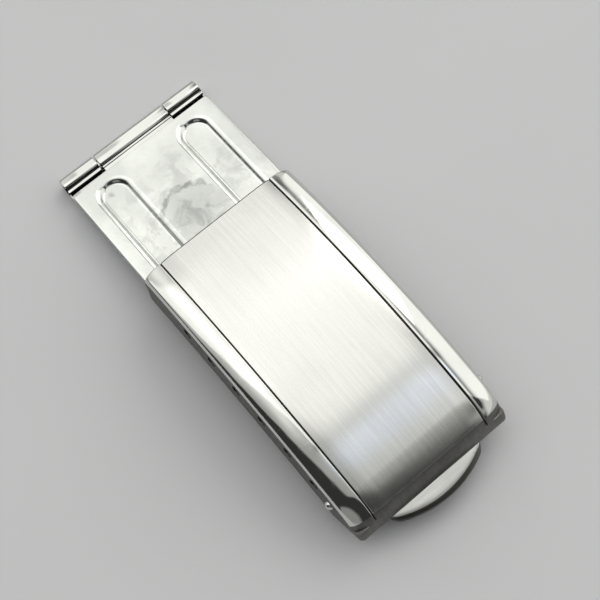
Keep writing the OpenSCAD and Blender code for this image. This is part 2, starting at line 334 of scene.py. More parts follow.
@dataclass(frozen=True)
class Arch:
    """The lines that the cover and both blades follow.

    X runs along the upper blade from the cut edge of the cover, and Z up from its top face.
    """

    arch_radius: float = 57.0
    crown_x: float = 7.5
    arch_length: float = 26.5
    bend_radius: float = 4.6
    bend_end: float = math.radians(64)
    rim_turn: float = math.radians(16)
    cover_t: float = 0.6
    channel_h: float = 2.1
    blade_t: float = 0.9
    blade_gap: float = 0.1
    bar_depth: float = 2.2
    bar_back: float = 0.2
    blade_reach: float = 12.3
    fold_gap: float = 0.45

    @property
    def crown_z(self) -> float:
        """Height of the crown of the cover over the top of the upper blade."""
        return self.cover_t + self.channel_h

    @property
    def centre(self) -> tuple[float, float]:
        """Middle of the long arch."""
        return (self.crown_x, self.crown_z - self.arch_radius)

    @property
    def cut_angle(self) -> float:
        """Angle of the cut edge."""
        return -math.asin(self.crown_x / self.arch_radius)

    @property
    def bend_angle(self) -> float:
        """Angle at which the front bend takes over from the arch."""
        return self.cut_angle + self.arch_length / self.arch_radius

    @property
    def rim_angle(self) -> float:
        """Angle at the end of the front rim."""
        return self.bend_end + self.rim_turn

    @property
    def bend_centre(self) -> tuple[float, float]:
        """Middle of the front bend."""
        reach = self.arch_radius - self.bend_radius
        return (self.centre[0] + reach * math.sin(self.bend_angle),
                self.centre[1] + reach * math.cos(self.bend_angle))

    def on_arch(self, radius: float, angle: float) -> tuple[float, float]:
        """Returns X and Z of a point about the middle of the arch."""
        return (self.centre[0] + radius * math.sin(angle), self.centre[1] + radius * math.cos(angle))

    @property
    def upper_radius(self) -> float:
        """Radius of the top of the upper blade."""
        return self.arch_radius - self.crown_z

    @property
    def lower_radius(self) -> float:
        """Radius of the top of the lower blade."""
        return self.upper_radius - self.blade_t - self.blade_gap

    @property
    def knuckle_r(self) -> float:
        """Outer radius of the fold knuckles, half the height of both blades."""
        return self.blade_t + self.blade_gap / 2

    @property
    def fold(self) -> tuple[float, float]:
        """X and Z of the fold hinge."""
        return (-self.blade_reach - self.fold_gap - self.knuckle_r, -self.knuckle_r)

    @property
    def bar_angle(self) -> float:
        """Angle of the hinge bar on the arch."""
        return self.bend_angle - self.bar_back / (self.arch_radius - self.bar_depth)

    @property
    def bar(self) -> tuple[float, float]:
        """X and Z of the hinge bar."""
        return self.on_arch(self.arch_radius - self.bar_depth, self.bar_angle)


def linear(hex_colour: str) -> tuple[float, float, float, float]:
    """Turns an sRGB colour into a linear one.

    Args:
        hex_colour: The colour as it is written, such as #c8c8c4.

    Returns:
        Its red, green and blue in linear light, and an alpha of 1.
    """
    parts = [int(hex_colour[i:i + 2], 16) / 255 for i in (1, 3, 5)]
    channels = [c / 12.92 if c <= 0.04045 else ((c + 0.055) / 1.055) ** 2.4 for c in parts]
    return (channels[0], channels[1], channels[2], 1.0)


def add(tree: Tree, kind: str, inputs: Union[Sequence[Value], dict] = (),
        **settings: Value) -> Node:
    """Adds a node with its settings and links.

    Args:
        tree: The tree that gets it.
        kind: The node's type.
        inputs: Values or sockets for its inputs, in order, or by name or number. A node given here
            stands for its first output.
        settings: The node's own settings.

    Returns:
        The node.
    """
    node = tree.nodes.new(kind)
    for name, value in settings.items():
        setattr(node, name, value)
    for key, value in inputs.items() if isinstance(inputs, dict) else enumerate(inputs):
        if isinstance(value, Node):
            value = value.outputs[0]
        if isinstance(value, Socket):
            tree.links.new(value, node.inputs[key])
        else:
            node.inputs[key].default_value = value
    return node


def blank(name: str) -> tuple[Material, Tree]:
    """Makes a material without nodes.

    Args:
        name: Its name.

    Returns:
        The material and its tree.
    """
    material = bpy.data.materials.new(name)
    material.use_nodes = True
    material.node_tree.nodes.clear()
    return material, material.node_tree


@dataclass(frozen=True)
class Streaks:
    """Fine parallel lines left by an abrasive belt.

    Real ones lie about 0.03 mm apart, too fine to show, so they are drawn as coarse as given here.

    Attributes:
        coarser: How much coarser the second set of lines is.
        fine_share: Share of the first set in the relief.
        tone_share: Share of the lines in the change of colour.
    """

    pitch_mm: float
    length_mm: float
    height_mm: float
    coarser: float = 2.7
    fine_share: float = 0.55
    tone_share: float = 0.75
    band: Band = (0.3, 0.7)


@dataclass(frozen=True)
class Hairlines:
    """Thin handling scratches in several directions, drawn wider than real ones so that they show.

    Attributes:
        width: Width of a line, as a share of the pattern's height.
        curl: How much the lines bend.
        layers: Number of directions.
        squeeze: How much longer the pattern is along the lines, as a factor of its scale.
        turn, turn_step: Direction of the first layer, and the turn from each to the next.
        worn_per_mm, worn_band: Size and range of the patches where the scratches are strong.
        faintest: What is left of them elsewhere.
        dulling: What a scratch adds to the roughness.
    """

    pitch_mm: float
    width: float
    height_mm: float
    curl: float
    layers: int
    squeeze: float = 0.07
    turn: Point = (0.0, 0.0, 0.5)
    turn_step: Point = (0.3, 0.2, 1.15)
    worn_per_mm: float = 0.3
    worn_band: Band = (0.4, 0.62)
    faintest: float = 0.15
    dulling: float = 0.12


@dataclass(frozen=True)
class Ripple:
    """Long low waves that a polishing wheel leaves."""

    size_mm: float
    height_mm: float


@dataclass(frozen=True)
class Scuffs:
    """A dull patch with a dark arc round it, rubbed in near the cover, in the shared frame.

    Attributes:
        wander_mm: How far the edge of the patch wanders in and out.
        edge_mm: Half the width over which it fades.
        rim_mm: Half the width of the dark arc.
        arc_from_mm: Where the arc starts and where it is full, along X from the middle.
        reach_mm: How far past the patch the smears go.
        roughness: What full dulling adds to the roughness.
        upward: Slope of the faces that start to take scuffs and that take all, as the normal's Z.
    """

    middle_mm: Point = (-11.0, -0.4, 0.0)
    radius_mm: float = 3.3
    wander_mm: float = 1.6
    edge_mm: float = 0.3
    rim_mm: float = 0.35
    arc_from_mm: Band = (-1.2, -2.2)
    reach_mm: float = 7.0
    blots_per_mm: float = 0.9
    smears_per_mm: float = 0.5
    smear_band: Band = (0.47, 0.66)
    speck_band: Band = (0.62, 0.72)
    patch_share: float = 0.2
    rim_share: float = 0.4
    smear_share: float = 0.3
    speck_share: float = 0.4
    roughness: float = 0.12
    upward: Band = (0.2, 0.6)


@dataclass(frozen=True)
class Steel:
    """Stainless steel under one kind of surface work.

    Attributes:
        shade: The sRGB colour that it turns to in patches.
        spread: How much the roughness varies.
        anisotropy: How much more it spreads light across its lines than along them.
        clouds: How far the patches go from colour to shade.
        clouds_per_mm: Number of patches in a millimetre.
        streaks, hairlines, ripple, scuffs: Marks of working and wear, where it has them.
    """

    name: str
    colour: str
    shade: str
    roughness: float
    spread: float
    anisotropy: float = 0.0
    clouds: float = 1.0
    clouds_per_mm: float = 0.22
    cloud_band: Band = (0.35, 0.65)
    streaks: Optional[Streaks] = None
    hairlines: Optional[Hairlines] = None
    ripple: Optional[Ripple] = None
    scuffs: Optional[Scuffs] = None

    def material(self) -> Material:
        """Makes the procedural material of this finish.

        Returns:
            The material, patterned by place in millimetres and by the surface map.
        """
        material, tree = blank(self.name)
        where = add(tree, "ShaderNodeTexCoord").outputs["Object"]
        place = add(tree, MAPPING, {"Vector": where, "Scale": (1 / MM,) * 3})
        cloud = add(tree, NOISE, {"Vector": place, "Scale": self.clouds_per_mm, "Detail": 3.0})
        tone = add(tree, RANGE, (cloud, *self.cloud_band, 0.0, self.clouds), **SOFT)
        rough = add(tree, MATH, (tone, self.spread * 0.5, self.roughness), operation="MULTIPLY_ADD")
        normal: Optional[Node] = None
        if self.ripple:
            normal = self._ripple(tree, place)
        if self.streaks:
            rough, tone, normal = self._streaks(tree, rough, tone, normal)
        if self.hairlines:
            rough, normal = self._hairlines(tree, place, rough, normal)
        if self.scuffs:
            rough, tone = self._scuffs(tree, place, rough, tone)
        tint = add(tree, "ShaderNodeMix", {0: tone, 6: linear(self.colour), 7: linear(self.shade)},
                   data_type="RGBA").outputs[2]
        shader = add(tree, "ShaderNodeBsdfPrincipled",
                     {"Base Color": tint, "Metallic": 1.0, "Roughness": rough})
        if self.anisotropy:
            shader.inputs["Anisotropic"].default_value = self.anisotropy
            shader.inputs["Anisotropic Rotation"].default_value = ACROSS_LINES
            tangent = add(tree, "ShaderNodeTangent", direction_type="UV_MAP", uv_map=PATH_MAP)
            tree.links.new(tangent.outputs[0], shader.inputs["Tangent"])
        if normal is not None:
            tree.links.new(normal.outputs[0], shader.inputs["Normal"])
        add(tree, "ShaderNodeOutputMaterial", {"Surface": shader})
        return material

    def _bump(self, tree: Tree, height: Node, height_mm: float,
              normal: Optional[Node]) -> Node:
        """Lays a relief on the surface.

        Args:
            tree: Tree of the material.
            height: Node that gives the relief, from 0 to 1.
            height_mm: Real height of 1.
            normal: Bump node that it is laid over, if there is one.

        Returns:
            The bump node.
        """
        node = add(tree, "ShaderNodeBump", {"Height": height, "Distance": height_mm * MM,
                                            "Strength": 1.0})
        if normal is not None:
            tree.links.new(normal.outputs[0], node.inputs["Normal"])
        return node

    def _ripple(self, tree: Tree, place: Node) -> Node:
        """Returns the bump of the polisher's waves on a place in millimetres."""
        wave = add(tree, NOISE, {"Vector": place, "Scale": 1 / self.ripple.size_mm, "Detail": 1.0})
        return self._bump(tree, wave, self.ripple.height_mm, None)

    def _streaks(self, tree: Tree, rough: Node, tone: Node,
                 normal: Optional[Node]) -> tuple[Node, Node, Node]:
        """Lays the brush lines on the surface.

        Args:
            tree: Tree of the material.
            rough: Roughness without them.
            tone: Change of colour without them.
            normal: Bump node without them, if there is one.

        Returns:
            Roughness, change of colour and bump with them.
        """
        streaks = self.streaks
        strip = add(tree, "ShaderNodeUVMap", uv_map=PATH_MAP)
        heights = []
        for share in (1.0, streaks.coarser):
            scale = (1 / (streaks.length_mm * share), 1 / (streaks.pitch_mm * share), 1.0)
            drawn = add(tree, MAPPING, {"Vector": strip, "Scale": scale})
            heights.append(add(tree, NOISE, {"Vector": drawn, "Scale": 1.0, "Detail": 2.0,
                                             "Roughness": 0.65}))
        fine = add(tree, MATH, (heights[0], streaks.fine_share), operation="MULTIPLY")
        lines = add(tree, MATH, (heights[1], 1 - streaks.fine_share, fine), operation="MULTIPLY_ADD")
        off = add(tree, MATH, (lines, 0.5), operation="SUBTRACT")
        rough = add(tree, MATH, (off, self.spread * 2, rough), operation="MULTIPLY_ADD")
        cloudy = add(tree, MATH, (tone, 1 - streaks.tone_share), operation="MULTIPLY")
        lined = add(tree, RANGE, (lines, *streaks.band), **SOFT)
        tone = add(tree, MATH, (lined, streaks.tone_share, cloudy), operation="MULTIPLY_ADD")
        return rough, tone, self._bump(tree, lines, streaks.height_mm, normal)

    def _hairlines(self, tree: Tree, place: Node, rough: Node,
                   normal: Optional[Node]) -> tuple[Node, Node]:
        """Lays thin scratches on the surface.

        Args:
            tree: Tree of the material.
            place: Place on the piece, in millimetres.
            rough: Roughness without them.
            normal: Bump node without them, if there is one.

        Returns:
            Roughness and bump with them.
        """
        lines, pitch = self.hairlines, self.hairlines.pitch_mm
        stretch = (lines.squeeze / pitch, 1 / pitch, 1 / pitch)
        marks: Optional[Node] = None
        for layer in range(lines.layers):
            turn = tuple(first + step * layer for first, step in zip(lines.turn, lines.turn_step))
            spun = add(tree, MAPPING, {"Vector": place, "Rotation": turn})
            drawn = add(tree, MAPPING, {"Vector": spun, "Scale": stretch})
            pattern = add(tree, NOISE, {"Vector": drawn, "Scale": 1.0, "Detail": 3.0,
                                        "Distortion": lines.curl})
            off = add(tree, MATH, (pattern, 0.5), operation="SUBTRACT")
            off = add(tree, MATH, (off,), operation="ABSOLUTE")
            line = add(tree, RANGE, (off, 0.0, lines.width, 1.0, 0.0), **SOFT)
            marks = line if marks is None else add(tree, MATH, (marks, line), operation="MAXIMUM")
        worn = add(tree, NOISE, {"Vector": place, "Scale": lines.worn_per_mm, "Detail": 2.0})
        worn = add(tree, RANGE, (worn, *lines.worn_band, lines.faintest, 1.0), **SOFT)
        marks = add(tree, MATH, (marks, worn), operation="MULTIPLY")
        rough = add(tree, MATH, (marks, lines.dulling, rough), operation="MULTIPLY_ADD")
        cut = add(tree, MATH, (1.0, marks), operation="SUBTRACT")
        return rough, self._bump(tree, cut, lines.height_mm, normal)

    def _scuffs(self, tree: Tree, place: Node, rough: Node,
                tone: Node) -> tuple[Node, Node]:
        """Lays the rubbed patch and its smears on the faces that look up.

        Args:
            tree: Tree of the material.
            place: Place on the piece, in millimetres.
            rough: Roughness without them.
            tone: Change of colour without them.

        Returns:
            Roughness and change of colour with them.
        """
        scuffs = self.scuffs
        off = add(tree, "ShaderNodeVectorMath", (place, scuffs.middle_mm), operation="SUBTRACT")
        x, y, _ = add(tree, "ShaderNodeSeparateXYZ", (off,)).outputs
        squares = [add(tree, MATH, (part, part), operation="MULTIPLY") for part in (x, y)]
        radius = add(tree, MATH, squares, operation="ADD")
        radius = add(tree, MATH, (radius,), operation="SQRT")
        blot = add(tree, NOISE, {"Vector": place, "Scale": scuffs.blots_per_mm, "Detail": 4.0,
                                 "Roughness": 0.7})
        wander = add(tree, MATH, (blot, 0.5), operation="SUBTRACT")
        uneven = add(tree, MATH, (wander, scuffs.wander_mm, radius), operation="MULTIPLY_ADD")
        edge = (scuffs.radius_mm - scuffs.edge_mm, scuffs.radius_mm + scuffs.edge_mm)
        patch = add(tree, RANGE, (uneven, *edge, 1.0, 0.0), **SOFT)
        off_rim = add(tree, MATH, (uneven, scuffs.radius_mm), operation="SUBTRACT")
        off_rim = add(tree, MATH, (off_rim,), operation="ABSOLUTE")
        rim = add(tree, RANGE, (off_rim, 0.0, scuffs.rim_mm, 1.0, 0.0), **SOFT)
        on_arc = add(tree, RANGE, (x, *scuffs.arc_from_mm), **SOFT)
        rim = add(tree, MATH, (rim, on_arc), operation="MULTIPLY")
        end = scuffs.radius_mm + scuffs.reach_mm
        near = add(tree, RANGE, (radius, scuffs.radius_mm, end, 1.0, 0.0), **SOFT)
        smear = add(tree, NOISE, {"Vector": place, "Scale": scuffs.smears_per_mm, "Detail": 5.0,
                                  "Roughness": 0.62, "Distortion": 0.6})
        smears = add(tree, RANGE, (smear, *scuffs.smear_band), **SOFT)
        smears = add(tree, MATH, (smears, near), operation="MULTIPLY")
        specks = add(tree, RANGE, (blot, *scuffs.speck_band), **SOFT)
        dulled = add(tree, MATH, (patch, scuffs.patch_share), operation="MULTIPLY")
        for marks, share in ((rim, scuffs.rim_share), (smears, scuffs.smear_share),
                             (specks, -scuffs.speck_share)):
            dulled = add(tree, MATH, (marks, share, dulled), operation="MULTIPLY_ADD")
        facing = add(tree, "ShaderNodeTexCoord").outputs["Normal"]
        rise = add(tree, "ShaderNodeSeparateXYZ", (facing,)).outputs[2]
        upward = add(tree, RANGE, (rise, *scuffs.upward), **SOFT)
        dulled = add(tree, MATH, (dulled, upward), operation="MULTIPLY", use_clamp=True)
        rough = add(tree, MATH, (dulled, scuffs.roughness, rough), operation="MULTIPLY_ADD")
        return rough, add(tree, MATH, (tone, dulled), operation="ADD", use_clamp=True)


# Belt-brushed 316 steel: pale and silky, its lines run with the strip and spread lights crosswise
BRUSHED = Steel("brushed_steel_panel", "#e2e2df", "#d6d6d4", roughness=0.2, spread=0.05,
                anisotropy=0.75, streaks=Streaks(0.13, 6.0, 0.0006))
# Wheel-polished steel: near mirror, with slow waves and a few hairlines
MIRROR = Steel("mirror_polished_rail", "#dedfdc", "#d6d7d4", roughness=0.05, spread=0.03,
               hairlines=Hairlines(1.6, 0.008, 0.0008, 0.5, 2), ripple=Ripple(2.6, 0.022))
# Polished sheet steel that has rubbed on the bracelet: bright, with swirls and scuffs
SCUFFED = Steel("polished_blade_steel", "#dfe1de", "#868887", roughness=0.09, spread=0.05,
                clouds=0.22, hairlines=Hairlines(1.0, 0.010, 0.0012, 1.2, 3),
                ripple=Ripple(3.4, 0.022), scuffs=Scuffs())
# The same sheet where the bracelet doesn't rub it
POLISHED = replace(SCUFFED, name="polished_sheet_steel", scuffs=None)
# Satin steel of the side walls and the inside: drawn lines along the strip, duller than the panel; its
# dark grey colour is painted shade for the dark surroundings that the walls reflect
SATIN_SHADED = Steel("satin_wall_steel_painted_shade", "#676664", "#575654", roughness=0.34, spread=0.10,
              anisotropy=0.45, streaks=Streaks(0.2, 5.0, 0.002))
# Blasted front rim: an even matt grey, made darker than blasted steel as painted shade for the dark
# surroundings it reflects
RIM_MATT_SHADED = Steel("matt_rim_steel_painted_shade", "#7b7a78", "#6b6a68", roughness=0.42, spread=0.08,
                 streaks=Streaks(0.25, 0.9, 0.0025))
# Finger lip: satin from handling; its colour, greyer than the panel, is painted shade for the dark
# reflection on its top
LIP_SATIN_SHADED = Steel("satin_lip_steel_painted_shade", "#cbcbc7", "#b9b9b5", roughness=0.28, spread=0.08,
                  streaks=Streaks(0.22, 3.0, 0.0008))
# Its rounded outer edge, dull, and darker as painted shade where the rounding turns away from the
# light
LIP_EDGE_SHADE = Steel("lip_edge_painted_shade_steel", "#63625f", "#4f4e4c", roughness=0.36, spread=0.08)
# Floor of the cut grooves, inside of the slits and the cut edge of the cover: unpolished, and painted
# dark as shade in these narrow recesses and gaps
GROOVE_SHADE = Steel("groove_painted_shade_steel", "#5d5b57", "#3f3d3a", roughness=0.55, spread=0.1)
# Drawn spring wire: smooth and a little grey
WIRE = Steel("drawn_spring_wire", "#c9c8c5", "#b5b4b1", roughness=0.2, spread=0.08)


@dataclass(frozen=True)
class Cover:
    """The arched cover that folds over the blades, with its side walls, rim and finger lip.

    Attributes:
        rail_swell, rail_round: Powers that round the rail towards the groove and towards its bevel.
        bevel_from, bevel_depth: Share of the rail's width where its bevel starts, and its depth
            there and at the edge.
        end_round, edge_round: Radii of the cut edge across the sheet and at its corners.
        rail_buff, buff_run, buff_least: Extra drop of the rails' ends, its length along the rail,
            and the share of it at the groove.
        matt_shade_from: Angle on the front bend from which the panel and rails take the matt rim
            finish, whose darker grey there is painted shade for the dark surroundings that the steep
            bend reflects.
        rim_step: How far the rim lies back behind the panel.
    """

    arch: Arch
    place: Placement
    cover_w: float = 16.4
    wall_lean: float = 0.3
    wall_t: float = 0.5
    cover_h: float = 3.6
    corner_depth: float = 1.4
    corner_run: float = 0.72
    corner_ease: float = 0.3
    foot_ease: float = 0.1
    rail_w: float = 2.04
    rail_drop: float = 0.8
    rail_swell: float = 1.6
    rail_round: float = 0.6
    rail_steps: int = 14
    rail_ease: float = 0.14
    groove_w: float = 0.14
    groove_depth: float = 0.2
    groove_least: float = 0.012
    groove_ease: float = 0.03
    brow_ease: float = 0.05
    panel_roll: float = 1.5
    panel_drop: float = 0.1
    panel_steps: int = 8
    bevel_from: float = 0.94
    bevel_depth: Band = (0.62, 0.78)
    bevel_ease: float = 0.06
    end_round: float = 0.16
    edge_round: float = 0.14
    edge_share: float = 0.55
    rail_buff: float = 0.07
    buff_run: float = 0.7
    buff_least: float = 0.4
    near_places: tuple[float, ...] = (0.13, 0.18, 0.24, 0.31, 0.39, 0.48, 0.6, 0.75)
    arch_steps: int = 84
    bend_steps: int = 34
    rim_steps: int = 9
    round_steps: int = 4
    matt_shade_from: float = math.radians(53)
    rim_step: float = 0.035
    rim_gap: float = 0.04
    rim_corner_drop: float = 0.25
    rim_corner_run: float = 0.4
    groove_stop: float = math.radians(0.6)
    lip_reach: float = 1.75
    lip_least: float = 0.12
    lip_w: float = 10.2
    lip_t: float = 0.75
    lip_dip: float = 0.06
    lip_edge_r: float = 10.3
    lip_corner_r: float = 0.8
    lip_slope: float = math.radians(10)
    lip_rise: float = 0.15
    lip_nose: float = 0.85
    lip_nose_share: float = 0.62
    lip_fall: float = 0.66
    lip_steps: int = 72
    level_steps: int = 9
    nose_steps: int = 14
    under_steps: int = 5
    hole_count: int = 6
    hole_r: float = 0.5
    hole_pitch: float = 3.4
    hole_from_bar: float = 2.2
    hole_depth: float = 1.65
    hole_sides: int = 48
    bar_hole_r: float = 0.51

    @property
    def wall_in_foot(self) -> float:
        """Inner face of a side wall at its foot."""
        return self.cover_w / 2 + self.wall_lean - self.wall_t

    @property
    def wall_in_corner(self) -> float:
        """Inner face of a side wall at the inner corner."""
        rise = (self.cover_h - self.corner_depth) / (self.cover_h - self.rail_drop)
        return self.wall_in_foot - self.wall_lean * rise

    def crown_depth(self, share: float) -> float:
        """Returns how deep the rail lies at a share of its width from the groove."""
        bulge = min(share / self.bevel_from, 1.0) ** self.rail_swell
        return self.bevel_depth[0] * (1 - (1 - bulge) ** self.rail_round)

    def square_depth(self, share: float) -> float:
        """Returns how deep the front rim lies at a share of the rail's width from the groove."""
        past = max(share * self.rail_w - self.rail_w + self.rim_corner_run, 0.0)
        return self.rim_corner_drop * (past / self.rim_corner_run) ** 2

    def section(self, inset: float = 0.0, groove: float = 1.0, narrow: float = 0.0,
                buff: float = 0.0, square: bool = False) -> list[Corner]:
        """Draws the outline of the shell across the strip.

        Args:
            inset: How far the whole outline shrinks, at a rounded end.
            groove: Share of the groove's depth.
            narrow: How far the outer edges draw in.
            buff: Extra drop of the rails where their ends are buffed off.
            square: True at the front rim, which has no rails.

        Returns:
            The closed outline with its eased corners.
        """
        groove_y = self.cover_w / 2 - self.rail_w
        half_w = self.groove_w / 2
        cut = inset + max(self.groove_depth * groove, self.groove_least)
        edge = self.cover_w / 2 - inset - narrow
        drop = 0.0 if square else self.panel_drop
        brow = groove_y - half_w
        lean = self.groove_ease
        half = [Corner(inset, 0.0, 0.0, Zone.PANEL)]
        half += [Corner(inset + drop * t * t, brow - self.panel_roll * (1 - t), 0.0, Zone.PANEL)
                 for t in even(0.0, 1.0, self.panel_steps)[:-1]]
        half += [Corner(inset + drop, brow, self.brow_ease, Zone.GROOVE),
                 Corner(cut, brow + lean, self.groove_ease, Zone.GROOVE),
                 Corner(cut, groove_y + half_w - lean, self.groove_ease, Zone.GROOVE),
                 Corner(inset + self.groove_least + self.buff_least * buff, groove_y + half_w,
                        self.rail_ease, Zone.RAIL)]
        crown = self.square_depth if square else self.crown_depth
        for share in even(half_w / self.rail_w, self.bevel_from, self.rail_steps)[1:]:
            buffed = buff * (self.buff_least + (1 - self.buff_least) * share)
            half.append(Corner(inset + crown(share) + buffed, groove_y + share * (edge - groove_y),
                               0.0, Zone.RAIL))
        brink = self.rim_corner_drop if square else self.bevel_depth[1] + buff
        half.append(Corner(inset + brink, edge, self.bevel_ease, Zone.WALL))
        foot = self.cover_w / 2 + self.wall_lean - inset - narrow
        low, ceiling = self.cover_h - inset, self.arch.cover_t - inset
        half += [Corner(low, foot, self.foot_ease, Zone.WALL),
                 Corner(low, self.wall_in_foot + inset, self.foot_ease, Zone.INSIDE),
                 Corner(self.corner_depth, self.wall_in_corner + inset, self.corner_ease, Zone.INSIDE),
                 Corner(ceiling, self.wall_in_corner - self.corner_run + inset, self.corner_ease,
                        Zone.INSIDE),
                 Corner(ceiling, 0.0, 0.0, Zone.INSIDE)]
        return soften(mirrored(half))

    def rows(self) -> list[tuple[Station, list[Corner], bool]]:
        """Draws the outline at each station, from the cut edge to the end of the rim.

        Returns:
            Each station with its outline, and whether it belongs to the front rim.
        """
        arch = self.arch
        done: list[tuple[Station, list[Corner], bool]] = []
        quarter = even(0.0, math.pi / 2, self.round_steps)
        places = [self.end_round * (1 - math.cos(t)) for t in quarter] + list(self.near_places)
        places += even(1.0, arch.arch_length - 0.3, self.arch_steps)
        for s in places:
            angle = arch.cut_angle + s / arch.arch_radius
            x, z = arch.on_arch(arch.arch_radius, angle)
            narrow = self.edge_share * rounding(self.edge_round, s)
            buff = self.rail_buff * max(1 - s / self.buff_run, 0.0) ** 2
            outline = self.section(rounding(self.end_round, s), 1.0, narrow, buff)
            done.append((Station(x, z, angle, s), outline, False))
        bend = arc_stations(arch.bend_centre, arch.bend_radius, arch.bend_angle,
                            arch.bend_end - self.groove_stop, self.bend_steps, arch.arch_length)
        done += [(station, self.section(), False) for station in bend]
        end = arch.rim_angle - self.end_round / arch.bend_radius
        rim = arc_stations(arch.bend_centre, arch.bend_radius, arch.bend_end, end, self.rim_steps,
                           bend[-1].along + self.rim_gap)
        done += [(station, self.section(self.rim_step, 0.0, square=True), True) for station in rim]
        for t in quarter[1:]:
            turn = self.end_round * math.sin(t) / arch.bend_radius
            last = arc_stations(arch.bend_centre, arch.bend_radius, rim[-1].lean,
                                rim[-1].lean + turn, 1, rim[-1].along)[-1]
            inset = self.rim_step + self.end_round * (1 - math.cos(t))
            done.append((last, self.section(inset, 0.0, square=True), True))
        return done

    def shell(self, materials: Sequence[Material]) -> Object:
        """Builds the shell without its holes.

        Args:
            materials: One finish for each zone.

        Returns:
            The shell.
        """
        rows = self.rows()
        zones = [corner.zone for corner in rows[0][1]]

        def zone_at(i: int, j: int) -> int:
            """Returns the zone of the face after a station: matt at the rim, dark on the cut edge."""
            zone, ahead = zones[j], rows[i + 1]
            if ahead[2] and zone != Zone.INSIDE:
                return int(Zone.RIM)
            # Panel and rails on the steep end of the bend take the darker rim finish: painted shade
            if ahead[0].lean > self.matt_shade_from and zone in (Zone.PANEL, Zone.RAIL):
                return int(Zone.RIM)
            # The rounded cut edge takes the groove's dark finish: a painted shadow line
            if ahead[0].along < self.end_round and zone == Zone.PANEL:
                return int(Zone.GROOVE)
            return int(zone)

        draft = Draft()
        draft.add_skin([[station.point(c.depth, c.across) for c in outline]
                        for station, outline, _ in rows], [row[0].along for row in rows], zone_at)
        return draft.finish("cover_shell", self.place, materials)

    def lip(self, materials: Sequence[Material]) -> Object:
        """Builds the finger lip, a crescent that runs on under the front rim.

        Args:
            materials: Finish of its top, and of its rounded outer edge.

        Returns:
            The lip.
        """
        arch = self.arch
        root_x = arch.bend_centre[0] + (arch.bend_radius - arch.cover_t) * math.sin(arch.rim_angle)
        top_z = arch.bend_centre[1] + arch.bend_radius * math.cos(arch.rim_angle) + self.lip_rise
        length = arch.cover_t * math.sin(arch.rim_angle) + self.lip_reach
        half_w, edge_r = self.lip_w / 2, self.lip_edge_r
        fall = self.lip_t * self.lip_fall
        rest = self.lip_t - fall
        down, out = math.sin(self.lip_slope), math.cos(self.lip_slope)
        rows: list[list[Point]] = []
        along: list[float] = []
        for t in even(-math.pi / 2, math.pi / 2, self.lip_steps):
            across = half_w * math.sin(t)
            reach = length - (edge_r - math.sqrt(edge_r ** 2 - across ** 2))
            reach = max(reach - rounding(self.lip_corner_r, half_w - abs(across)), self.lip_least)
            nose = min(self.lip_nose, self.lip_nose_share * reach)
            level = reach - nose
            ring: list[tuple[float, float]] = [(0.0, -self.lip_t), (0.0, -self.lip_dip)]
            ring += [(u * level, -self.lip_dip * (1 - min(u * 3, 1.0)) ** 2)
                     for u in even(0.0, 1.0, self.level_steps)[1:]]
            ring += [(level + nose * math.sin(k), fall * (math.cos(k) - 1))
                     for k in even(0.0, math.pi / 2, self.nose_steps)[1:]]
            ring += [(reach - 0.5 * rest * (1 - math.cos(k)), -fall - rest * math.sin(k))
                     for k in even(0.0, math.pi / 2, self.under_steps)[1:]]
            rows.append([(root_x + x * out + z * down, across, top_z - x * down + z * out)
                         for x, z in ring])
            along.append(across)
        # The root's two points and the level stretch come first, then three steps of the nose
        nose_from = 2 + self.level_steps + 3
        draft = Draft()
        # Faces from the nose on take the edge finish, which is painted shade
        draft.add_skin(rows, along, lambda i, j: int(j >= nose_from))
        return draft.finish("finger_lip", self.place, materials)

    def hole_tree(self, material: Material) -> Tree:
        """Builds the node tree that lays cutters for a row of holes along the arch.

        Args:
            material: Finish of the holes' walls.

        Returns:
            The tree.
        """
        tree = open_tree("holes_along_arch", {
            "Count": "Int", "Arc radius": "Float", "Last angle": "Float", "Step angle": "Float",
            "Hole radius": "Float", "Length": "Float"})
        given = add(tree, "NodeGroupInput").outputs
        line = add(tree, "GeometryNodeMeshLine", {"Count": given["Count"]})
        index = add(tree, "GeometryNodeInputIndex")
        back = add(tree, MATH, (index, given["Step angle"]), operation="MULTIPLY")
        angle = add(tree, MATH, (given["Last angle"], back), operation="SUBTRACT")
        spot = on_circle(tree, angle, given["Arc radius"], self.arch.centre, ("SINE", "COSINE"))
        moved = add(tree, "GeometryNodeSetPosition", {"Geometry": line, "Position": spot})
        bit = add(tree, "GeometryNodeMeshCylinder",
                  {"Vertices": self.hole_sides, "Radius": given["Hole radius"],
                   "Depth": given["Length"]})
        placed = add(tree, "GeometryNodeInstanceOnPoints",
                     {"Points": moved, "Instance": bit.outputs["Mesh"],
                      "Rotation": (math.pi / 2, 0.0, 0.0)})
        close_tree(tree, placed, material)
        return tree

    def pierce(self, shell: Object, material: Material) -> None:
        """Cuts the adjustment holes and the holes of the hinge bar through both side walls.

        Args:
            shell: The shell, which is cut in place.
            material: Finish of the holes' walls.
        """
        arch = self.arch
        row_r = arch.arch_radius - self.hole_depth
        last = arch.bar_angle - self.hole_from_bar / row_r
        rows = [(self.hole_count, row_r, last, self.hole_pitch / row_r, self.hole_r),
                (1, arch.arch_radius - arch.bar_depth, arch.bar_angle, 0.0, self.bar_hole_r)]
        tree = self.hole_tree(material)
        for count, radius, angle, step, hole in rows:
            cutter = grown("cutter", tree, {"Count": count, "Arc radius": radius,
                                            "Last angle": angle, "Step angle": step,
                                            "Hole radius": hole, "Length": 2.4 * self.cover_w},
                           self.place)
            cut = shell.modifiers.new("holes", "BOOLEAN")
            cut.operation = "DIFFERENCE"
            cut.solver = "EXACT"
            cut.object = cutter
            settle(shell)
            bpy.data.objects.remove(cutter)
        outward(shell.data)

    def build(self) -> None:
        """Builds and dresses the cover and its lip."""
